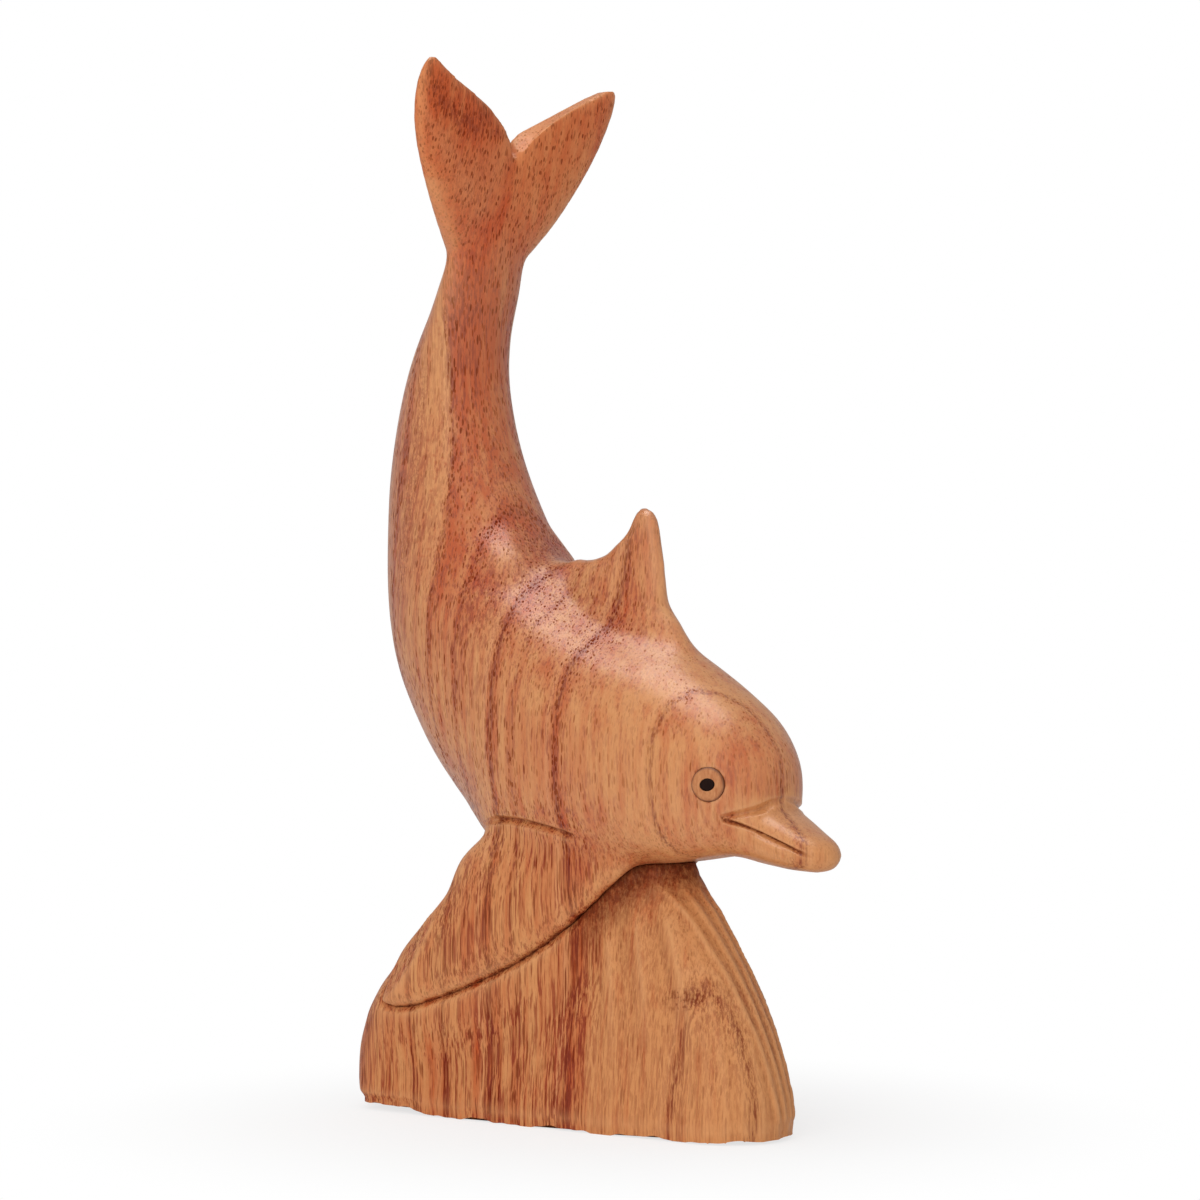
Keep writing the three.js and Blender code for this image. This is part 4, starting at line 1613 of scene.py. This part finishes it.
@dataclass
class Dolphin:
    """The dolphin, sanded and carved from a copy of its CAD solid.

    Attributes:
        voxel: Size of the blank's faces.
        mouth: The mouth's slit; the next four are the other carved lines of the head and the fins.
        lobe_front: Trailing edge of the left fluke, as Y and Z on its front face.
        lobe_back: The same on its back face.
        lobe_depths: X of the two faces.
        fluke_start: Height above which the flukes are finely meshed.
        back_pushes: Corrections of the back and the dorsal fin.
        head_pushes: Corrections of the head.
        flank_pushes: Corrections of the flanks and the pectoral fins.
        tail_pushes: Corrections of the tail and the flukes.
        dorsal_ends: Where the dorsal fin runs out into the back.
        fin_facet: Point of the flat that is planed on the right pectoral fin.
        fin_facing: Direction that the flat looks in.
    """

    voxel: float = 0.75
    mouth: CarvedLine = CarvedLine(
        path=((39.0, -9.8, 58.3), (40.8, -9.1, 57.8), (43.6, -7.8, 56.9), (46.2, -6.9, 55.7),
              (49.0, -6.1, 54.5), (51.6, -5.5, 53.4), (53.9, -4.6, 52.4), (55.4, -3.4, 51.7)),
        width=0.5, depth=1.3, sharpness=0.8, fade_in=0.15, fade_out=0.42,
    )
    beak_crease: CarvedLine = CarvedLine(
        path=((38.9, -9.9, 58.6), (41.0, -9.0, 59.1), (44.4, -5.9, 60.2), (46.0, -3.2, 61.4),
              (46.6, 0.0, 62.0)),
        width=1.0, depth=1.0, sharpness=1.1, fade_in=0.05, fade_out=0.02,
    )
    lower_lip: CarvedLine = CarvedLine(
        path=((41.2, -9.2, 56.9), (43.6, -8.1, 55.8), (46.2, -7.2, 54.6), (49.0, -6.4, 53.4),
              (51.6, -5.8, 52.3), (53.6, -5.0, 51.4)),
        width=0.7, depth=-0.2, sharpness=1.2, fade_in=0.3, fade_out=0.4,
    )
    lip_bevel: CarvedLine = CarvedLine(
        path=((40.4, -9.4, 57.8), (43.6, -7.95, 56.4), (46.2, -7.05, 55.2), (49.0, -6.25, 54.0),
              (51.6, -5.6, 52.9), (53.9, -4.7, 51.9)),
        width=0.8, depth=0.3, sharpness=1.0, fade_in=0.4, fade_out=0.4,
    )
    fin_cut: CarvedLine = CarvedLine(
        path=((-20.5, -10.6, 54.6), (-16.0, -13.6, 56.0), (-11.6, -15.2, 56.8), (-5.0, -15.8, 56.5),
              (1.9, -15.7, 55.3), (7.8, -15.0, 53.8)),
        width=1.0, depth=1.5, sharpness=1.3, fade_in=0.35, fade_out=0.1,
    )
    lobe_front: Profile = (
        (1.2, 184.3), (4.1, 187.8), (7.1, 190.2), (10.2, 192.3), (13.3, 194.1), (18.4, 196.9),
        (22.0, 198.6), (24.0, 198.8), (26.0, 197.3),
    )
    lobe_back: Profile = (
        (0.5, 187.3), (3.6, 189.4), (10.2, 192.6), (16.9, 196.1), (22.0, 198.9), (24.0, 199.3),
        (26.0, 198.0),
    )
    lobe_depths: tuple[float, float] = (-21.5, -25.5)
    fluke_start: float = 178.0
    back_pushes: tuple[Nudge, ...] = (
        Nudge((-8.0, 0.0, 101.0), 9.0, (0.0, 0.0, 1.6)),
        Nudge((-15.5, -8.0, 107.0), 9.0, (0.8, -0.9, 0.2)),
        Nudge((-3.0, 0.0, 106.0), 5.0, (0.0, 0.0, -0.3)),
        Nudge((-9.5, 0.0, 105.0), 4.5, (0.0, 0.0, 0.6)),
        Nudge((-6.6, 0.0, 105.2), 5.0, (0.0, 0.0, 0.9)),
        Nudge((-14.0, 5.2, 108.5), 6.0, (-0.6, -0.6, 0.0), both=False),
        Nudge((3.0, 0.0, 108.0), 8.0, (0.2, 0.0, -0.3)),
        Nudge((6.5, 0.0, 112.0), 5.0, (1.0, 0.0, -0.8)),
        Nudge((12.0, 0.0, 113.0), 9.0, (0.7, 0.0, 0.5)),
        Nudge((18.0, 0.0, 101.0), 12.0, (1.9, 0.0, 0.3)),
        Nudge((24.0, 0.0, 90.0), 9.0, (0.5, 0.0, 0.4)),
    )
    head_pushes: tuple[Nudge, ...] = (
        Nudge((56.0, 0.0, 50.0), 14.0, (0.9, 0.0, -0.6)),
        Nudge((51.0, 0.0, 57.0), 8.0, (0.0, 0.0, -0.7)),
        Nudge((47.0, 0.0, 64.0), 9.0, (-0.9, 0.0, 0.0)),
        Nudge((46.0, 0.0, 76.0), 16.0, (-0.5, 0.0, 0.0)),
        Nudge((36.0, 0.0, 47.0), 14.0, (0.0, 0.0, 1.0)),
        Nudge((28.0, 0.0, 49.0), 9.0, (0.0, 0.0, 0.7)),
        Nudge((45.0, 0.0, 48.0), 8.0, (0.0, 0.0, -0.4)),
        Nudge((40.0, 0.0, 48.0), 7.0, (0.0, 0.0, -0.7)),
    )
    flank_pushes: tuple[Nudge, ...] = (
        Nudge((-22.0, -12.0, 76.0), 26.0, (2.1, 0.8, 0.3)),
        Nudge((-25.0, -11.0, 62.0), 16.0, (0.9, 0.4, 0.0)),
        Nudge((-21.0, -14.0, 52.0), 7.0, (-0.5, -0.3, 0.0)),
        Nudge((-25.0, -17.0, 42.0), 8.0, (0.6, 0.3, 0.0)),
        Nudge((-20.0, -13.0, 50.0), 15.0, (-1.5, -0.5, 0.3)),
    )
    tail_pushes: tuple[Nudge, ...] = (
        Nudge((-20.0, -26.0, 192.0), 16.0, (0.0, -0.5, 0.5), both=False),
        Nudge((-20.0, 24.0, 188.0), 22.0, (0.0, -1.6, 0.3), both=False),
        Nudge((-33.0, 0.0, 152.0), 18.0, (-0.35, -0.3, 0.0)),
        Nudge((-31.0, -6.0, 161.0), 12.0, (0.0, -0.8, 0.0)),
        Nudge((-41.0, 0.0, 132.0), 18.0, (0.7, 0.0, 0.0)),
    )
    dorsal_ends: tuple[Point, ...] = ((19.0, 0.0, 97.5), (-10.0, 0.0, 106.0))
    fin_facet: Point = (-28.9, -19.2, 33.0)
    fin_facing: Point = (-0.37, -0.85, 0.365)

    def build(self, eyes: Sequence[Eye], finish: bpy.types.Material) -> Workpiece:
        """Carves the dolphin.

        Args:
            eyes: The eyes, whose sockets are bored into the head.
            finish: Its wood.

        Returns:
            The carved workpiece.
        """
        work = Workpiece.from_node("dolphin", self.voxel, [eye.plug() for eye in eyes])
        LOG.info("dolphin blank: %d points", len(work.points))
        self._sand(work)
        self._shape(work)
        near_mouth = (work.x > 38.0) & (work.z < 64.0) & (work.z > 46.0)
        near_cut = (work.side > 8.0) & (work.x > -22.0) & (work.x < 9.0) & (np.abs(work.z - 55.8) < 3.0)
        near_eye = np.zeros(len(work.points), dtype=bool)
        for eye in eyes:
            near_eye |= np.linalg.norm(work.points - np.array(eye.centre), axis=1) < 5.0
        work.refine(near_mouth | near_cut | near_eye | (work.z > self.fluke_start))
        lines = (self.mouth, self.beak_crease, self.lower_lip, self.fin_cut)
        work.refine(np.any([work.along(line, 1.2) for line in lines], axis=0))
        far = smooth_step(0.0, 1.5, work.points[:, 1]) * (work.z > 175.0)
        work.trim(self.lobe_front, self.lobe_back, self.lobe_depths, far)
        work.relax(0.4 + 0.5 * (work.z > self.fluke_start), 2)
        lip = replace(self.lower_lip, path=work.lay(self.lower_lip.path))
        for tool in (self.lip_bevel, self.mouth, self.beak_crease, lip, self.fin_cut):
            work.carved(tool, finish)
        work.bored([eye.cutter() for eye in eyes])
        return work

    def _sand(self, work: Workpiece) -> None:
        """Fillets the inner corners and sands the CAD facets away.

        Args:
            work: The blank.
        """
        x, z = work.x, work.z
        mouth = smooth_step(36.0, 39.0, x) * smooth_step(59.5, 58.0, z)
        fin_root = smooth_step(40.0, 46.0, z) * smooth_step(64.0, 60.0, z) * smooth_step(38.0, 34.0, x)
        dorsal_root = smooth_step(80.0, 86.0, z) * smooth_step(120.0, 114.0, z)
        dorsal_root *= smooth_step(-22.0, -14.0, x)
        fluke_root = smooth_step(150.0, 156.0, z) * smooth_step(184.0, 178.0, z)
        work.fill(np.clip(mouth + fin_root, 0.0, 1.0), 38)
        work.fill(np.clip(dorsal_root + fluke_root, 0.0, 1.0), 90)
        x, side, z = work.x, work.side, work.z
        body = np.ones(len(x))
        body -= 0.92 * smooth_step(160.0, 168.0, z)
        body -= 0.8 * dorsal_root * smooth_step(8.0, 5.0, side) * smooth_step(94.0, 98.0, z)
        body -= 0.75 * smooth_step(44.0, 40.0, z)
        body -= 0.8 * smooth_step(42.0, 46.0, x) * smooth_step(64.0, 60.0, z)
        work.relax(np.clip(body, 0.04, 1.0), 29)
        work.relax(0.4, 2)

    def _shape(self, work: Workpiece) -> None:
        """Corrects the outline with the listed pushes, as a carver takes the last millimetre off.

        Args:
            work: The sanded dolphin.
        """
        for push in (*self.back_pushes, *self.head_pushes, *self.flank_pushes, *self.tail_pushes):
            work.nudge(push)
        for spot in self.dorsal_ends:
            away = np.linalg.norm(work.points - np.array(spot), axis=1)
            work.relax(0.9 * smooth_step(11.0, 4.0, away), 14)
        fin_back = smooth_step(48.0, 44.0, work.z) * smooth_step(-12.0, -18.0, work.x)
        fin_back *= smooth_step(8.0, 12.0, work.side)
        for side in Side:
            flip = np.array([1.0, -side.value, 1.0])
            share = fin_back * (np.sign(work.points[:, 1]) == side.value)
            work.plane_off(np.array(self.fin_facet) * flip, np.array(self.fin_facing) * flip, share, 0.1)

    def dress(
        self,
        work: Workpiece,
        finish: bpy.types.Material,
        base: Workpiece,
        eyes: Sequence[Eye],
    ) -> bpy.types.Object:
        """Makes the shown piece.

        Args:
            work: The carved workpiece.
            finish: Its wood.
            base: The wave base, whose nearness paints shade along the seam.
            eyes: The eyes, round whose sockets shade is painted.

        Returns:
            The piece.
        """
        # Painted shade: darker in hollows, along the seam with the base, in the mouth and round the eye
        # sockets' edges.
        hollow = np.clip(work.relief(8, 0.3), -0.4, 1.0) + 0.65 * nearness(work, base, 0.9)
        hollow += 0.9 * nearness(work, base, 2.6) * smooth_step(-14.0, 2.0, work.x)
        hollow += 0.7 * work.along(self.mouth, 1.6) * smooth_step(0.15, 0.4, hollow)
        hollow += 0.6 * sum(eye.rim(work.points) for eye in eyes)
        # Painted highlight: the flukes' upward faces are painted paler.
        hollow -= 0.35 * smooth_step(0.3, 0.7, work.normals()[:, 2]) * smooth_step(176.0, 182.0, work.z)
        piece = work.finished("carved_dolphin", finish, hollow)
        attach(piece, BODY)
        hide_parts("dolphin")
        return piece


@dataclass
class WaveBase:
    """The wave that carries the dolphin, gouged into flutes towards its prow.

    Attributes:
        voxel: Size of the blank's faces.
        groove: X and Z of the groove under the fins.
        swell: X and how far the flank comes out there.
        swell_drop: How far below the groove the swell starts.
        flank_waves: Paths of the soft waves on the flanks.
        prow_ridges: Numbers of the ridges on the prow.
        ridge_spacing: Their spacing at the top and at the bottom.
        ridge_drift: How far they drift sideways towards the bottom.
        ridge_heights: Heights of their ends.
        chip_depth: Depth of the chips along the bottom edge.
        foot_drop: How far the bottom edge is drawn down before it is cut flat.
        foot_rim: Breadth of the strip inside the bottom edge.
        pushes: Corrections of the outline.
    """

    voxel: float = 0.5
    groove: Profile = (
        (-52.0, 21.6), (-28.1, 21.5), (-16.6, 24.5), (-1.9, 33.8), (6.9, 41.6), (14.6, 47.0), (22.0, 48.5),
    )
    swell: Profile = (
        (-46.0, 0.4), (-36.0, 1.6), (-26.0, 2.2), (-14.0, 2.2), (-2.0, 2.0), (8.0, 1.6), (16.0, 0.6),
        (20.0, 0.0),
    )
    swell_drop: float = 16.0
    flank_waves: tuple[tuple[Point, ...], ...] = (
        ((10.5, -8.6, 40.0), (12.2, -10.4, 31.6), (13.7, -11.5, 24.4), (15.0, -12.6, 12.0)),
        ((15.5, -7.1, 42.6), (18.3, -8.9, 33.7), (20.9, -10.3, 24.8), (22.8, -11.6, 12.0)),
        ((22.6, -6.3, 41.0), (24.1, -7.1, 37.6), (27.5, -8.2, 30.6), (31.0, -9.2, 20.0),
         (33.0, -10.0, 10.0)),
    )
    prow_ridges: range = range(-2, 4)
    ridge_spacing: tuple[float, float] = (2.7, 2.2)
    ridge_drift: float = 4.6
    ridge_heights: tuple[float, float] = (45.5, 3.0)
    chip_depth: float = 0.7
    foot_drop: float = 3.0
    foot_rim: float = 1.2
    pushes: tuple[Nudge, ...] = (
        Nudge((22.0, 2.0, 47.0), 7.0, (0.9, 0.0, 0.4), both=False),
        Nudge((-42.0, -15.0, 25.0), 9.0, (0.6, 0.5, 0.0)),
        Nudge((-47.5, -16.5, 12.0), 8.0, (-0.4, -0.3, 0.0)),
        Nudge((-51.5, -17.0, 0.0), 7.0, (1.7, 0.9, 0.0)),
        Nudge((50.0, 3.0, 0.0), 8.0, (-1.9, -0.9, 0.0), both=False),
    )

    def build(self, finish: bpy.types.Material) -> Workpiece:
        """Gouges the base.

        Args:
            finish: Its wood.

        Returns:
            The carved workpiece.
        """
        work = Workpiece.from_node("wave_base", self.voxel)
        LOG.info("wave base blank: %d points", len(work.points))
        work.relax(smooth_step(1.2, 3.0, work.z) * 0.8, 14)
        work.square_foot(self.foot_drop, self.foot_rim)
        self._swell(work)
        work.points -= (0.2 * smooth_step(18.0, 28.0, work.x))[:, None] * work.normals()
        for push in self.pushes:
            work.nudge(push)
        for path in self.flank_waves:
            wave = CarvedLine(
                work.lay(path), width=2.6, depth=-0.7, sharpness=1.2, fade_in=0.3, fade_out=0.5,
            )
            work.carved(wave, finish)
        top, bottom = self.ridge_heights
        for step in self.prow_ridges:
            y_top, y_bottom = step * self.ridge_spacing[0], step * self.ridge_spacing[1] + self.ridge_drift
            guess = [(60.0 - 0.45 * h, y_top + (y_bottom - y_top) * (top - h) / (top - bottom), h)
                     for h in np.linspace(top, bottom, 9)]
            ridge = CarvedLine(
                work.lay_front(guess), width=1.0, depth=-0.46, sharpness=1.3,
                fade_in=0.08, fade_out=0.05, mirrored=False,
            )
            work.carved(ridge, finish)
        self._chip(work)
        return work

    def _swell(self, work: Workpiece) -> None:
        """Brings the flanks out under the fins, so that the groove between them is a narrow V.

        Args:
            work: The sanded base.
        """
        x, y, z = work.points.T
        edge = np.interp(x, *zip(*self.groove))
        out = np.interp(x, *zip(*self.swell))
        flank = smooth_step(8.0, 11.0, work.side)
        flank += smooth_step(5.0, 8.0, work.side) * smooth_step(4.0, 8.0, x)
        share = smooth_step(edge - self.swell_drop, edge - 1.0, z) * np.clip(flank, 0.0, 1.0)
        share *= smooth_step(edge + 6.0, edge + 0.5, z)
        work.points[:, 1] += np.sign(y) * out * share

    def _chip(self, work: Workpiece) -> None:
        """Chips the bottom edge, which the carver left rough.

        Args:
            work: The gouged base.
        """
        normals = work.normals()
        x, y, z = work.points.T
        wave = np.sin(x * 0.33 + 0.6) + 0.6 * np.sin(x * 0.71 + 0.4 * y + 1.0)
        wave += 0.3 * np.sin(x * 1.7 - y * 0.8)
        depth = self.chip_depth * np.clip(0.35 + wave * 0.4, 0.0, 1.2) + 1.4 * smooth_step(-20.0, -48.0, x)
        depth += 0.9 * smooth_step(44.0, 54.0, x)
        tuck = 0.35 + 0.5 * smooth_step(-42.0, -50.0, x) + 0.4 * smooth_step(44.0, 54.0, x)
        outline = work.points[(np.abs(normals[:, :2]).max(1) > 0.6) & (z < 1.5)]
        tree = search_tree(outline * np.array([1.0, 1.0, 0.0]))
        low = np.nonzero(z < 4.0)[0]
        inwards = np.array([tree.find((x[i], y[i], 0.0))[2] for i in low])
        rim = np.zeros(len(x))
        rim[low] = smooth_step(4.0, 0.2, z[low]) * smooth_step(5.0, 0.6, inwards)
        work.points[:, 2] += depth * rim
        work.points[:, :2] -= (tuck * depth * rim)[:, None] * normals[:, :2]

    def dress(self, work: Workpiece, finish: bpy.types.Material, dolphin: Workpiece) -> bpy.types.Object:
        """Makes the shown piece.

        Args:
            work: The carved workpiece.
            finish: Its wood.
            dolphin: The dolphin, whose nearness paints shade along the seam and on the base under its chin.

        Returns:
            The piece.
        """
        # Painted shade in hollows and along the seam with the dolphin.
        hollow = np.clip(work.relief(14, 0.4), -0.4, 1.0) + 0.7 * nearness(work, dolphin, 1.6)
        hollow *= smooth_step(0.8, 2.6, work.z)
        # Painted shade on the base's top under the dolphin's chin.
        hollow += 1.2 * nearness(work, dolphin, 8.0) * smooth_step(0.0, 10.0, work.x)
        piece = work.finished("carved_wave_base", finish, hollow)
        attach(piece, BODY)
        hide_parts("wave_base")
        return piece


def nearness(work: Workpiece, other: Workpiece, reach: float) -> np.ndarray:
    """How close each point is to another workpiece.

    Args:
        work: The workpiece to measure.
        other: Its neighbour.
        reach: Distance from which nothing counts.

    Returns:
        1 where they touch, falling to 0 at the reach.
    """
    tree = other.tree()
    low, high = other.points.min(0) - reach, other.points.max(0) + reach
    inside = np.all((work.points > low) & (work.points < high), axis=1)
    result = np.zeros(len(work.points))
    for index in np.nonzero(inside)[0]:
        result[index] = max(0.0, 1.0 - tree.find(work.points[index])[2] / reach)
    return result


@dataclass(frozen=True)
class Lamp:
    """A square soft box.

    Attributes:
        name: Its name.
        place: Where it hangs.
        target: What it looks at.
        size: Its side.
        power: Its power in watts.
        shine: What it lights.
    """

    name: str
    place: Point
    target: Point
    size: float
    power: float
    shine: Shine

    def hang(self) -> None:
        """Hangs the lamp in the scene."""
        light = bpy.data.lights.new(self.name, "AREA")
        light.shape = "SQUARE"
        light.size = self.size / METRE
        light.energy = self.power
        lamp = placed(self.name, light)
        lamp.location = Vector(self.place) / METRE
        lamp.visible_diffuse = self.shine is not Shine.GLOSS
        lamp.visible_glossy = self.shine is not Shine.SOFT
        towards = Vector(self.target) - Vector(self.place)
        lamp.rotation_euler = towards.to_track_quat("-Z", "Y").to_euler()


@dataclass
class Studio:
    """White sweep, soft lights and the camera."""

    turn: float = 43.0
    tilt: float = 0.647
    distance: float = 668.0
    height: float = 90.5
    lens: float = 106.26
    sensor: float = 36.0
    floor_half: float = 6000.0
    paper: tuple[float, float, float, float] = (0.94, 0.94, 0.94, 1.0)
    shadow_share: float = 0.28
    room_light: float = 0.53
    lamps: tuple[Lamp, ...] = (
        Lamp("key", (-40.0, -90.0, 640.0), (0.0, 0.0, 80.0), 400.0, 0.6, Shine.FULL),
        Lamp("sheen", (-40.0, -90.0, 645.0), (0.0, 0.0, 80.0), 400.0, 1.9, Shine.GLOSS),
        Lamp("fill", (360.0, -770.0, 360.0), (0.0, 0.0, 90.0), 600.0, 3.5, Shine.SOFT),
    )

    def build(self) -> None:
        """Sets up the floor, the lights and the camera."""
        self._floor()
        self._world()
        for lamp in self.lamps:
            lamp.hang()
        self._camera()
        bpy.context.scene.view_settings.view_transform = "Standard"

    def _floor(self) -> None:
        """Lays the pale floor, which shows white but keeps the object's shadow."""
        half = self.floor_half / METRE
        corners = [(-half, -half, 0.0), (half, -half, 0.0), (half, half, 0.0), (-half, half, 0.0)]
        mesh = bpy.data.meshes.new("floor")
        mesh.from_pydata(corners, [], [(0, 1, 2, 3)])
        material = bpy.data.materials.new("white_sweep")
        material.use_nodes = True
        material.node_tree.nodes.clear()
        sheet = NodeSheet(material.node_tree)
        paper = sheet.add("ShaderNodeBsdfDiffuse", None, {"Color": self.paper})
        glow = sheet.add("ShaderNodeEmission", None, {"Color": WHITE, "Strength": 1.0})
        seen = Value(sheet, sheet.add("ShaderNodeLightPath").outputs["Is Camera Ray"])
        place = sheet.add("ShaderNodeTexCoord").outputs["Object"]
        length = sheet.add("ShaderNodeVectorMath", {"operation": "LENGTH"}, {0: place})
        far = Value(sheet, length.outputs["Value"]).fade(0.03, 0.115)
        share = seen * (far * self.shadow_share + (1.0 - self.shadow_share))
        both = sheet.add("ShaderNodeMixShader", None, {0: share, 1: paper.outputs[0], 2: glow.outputs[0]})
        sheet.add("ShaderNodeOutputMaterial", None, {"Surface": both.outputs[0]})
        mesh.materials.append(material)
        placed("floor", mesh)

    def _world(self) -> None:
        """Makes the white room."""
        world = bpy.data.worlds.new("white_room")
        bpy.context.scene.world = world
        world.use_nodes = True
        world.node_tree.nodes.clear()
        sheet = NodeSheet(world.node_tree)
        seen = Value(sheet, sheet.add("ShaderNodeLightPath").outputs["Is Camera Ray"])
        strength = seen * (1.0 - self.room_light) + self.room_light
        light = sheet.add("ShaderNodeBackground", None, {"Color": WHITE, "Strength": strength})
        sheet.add("ShaderNodeOutputWorld", None, {"Surface": light.outputs[0]})

    def _camera(self) -> None:
        """Puts the camera at the photograph's angle."""
        data = bpy.data.cameras.new("camera")
        data.lens = self.lens
        data.sensor_width = self.sensor
        data.clip_start, data.clip_end = 0.01, 50.0
        camera = placed("camera", data)
        turn = math.radians(self.turn)
        back = Vector((math.sin(turn), -math.cos(turn), 0.0)) * self.distance
        camera.location = (back + Vector((0.0, 0.0, self.height))) / METRE
        camera.rotation_euler = (math.radians(90.0 + self.tilt), 0.0, turn)
        bpy.context.scene.camera = camera


def main() -> None:
    """Builds every piece in order and reports it."""
    logging.basicConfig(level=logging.INFO, format="%(name)s: %(message)s")
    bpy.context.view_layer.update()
    wood = CarvedWood().material()
    disc_wood, pupil_wood = EYE_WOOD.material(), PUPIL_WOOD.material()
    eyes = [Eye(side) for side in Side]
    dolphin, base = Dolphin(), WaveBase()
    dolphin_work = dolphin.build(eyes, wood)
    base_work = base.build(wood)
    dolphin_work.ease_seam(base_work, reach=1.3, depth=0.35, until=14.0)
    base_work.ease_seam(dolphin_work, reach=1.6, depth=0.3, until=14.0)
    base_work.meet(dolphin_work, reach=1.1, gap=0.06, weight=np.full(len(base_work.points), 0.8))
    base_work.meet(dolphin_work, reach=2.4, gap=0.05, weight=smooth_step(8.0, 13.0, base_work.x))
    pieces = [
        dolphin.dress(dolphin_work, wood, base_work, eyes),
        base.dress(base_work, wood, dolphin_work),
    ]
    for eye in eyes:
        pieces += eye.build(disc_wood, pupil_wood)
    for piece in pieces:
        LOG.info("%s: %d faces", piece.name, len(piece.data.polygons))
    Studio().build()


if __name__ == "__main__":
    main()
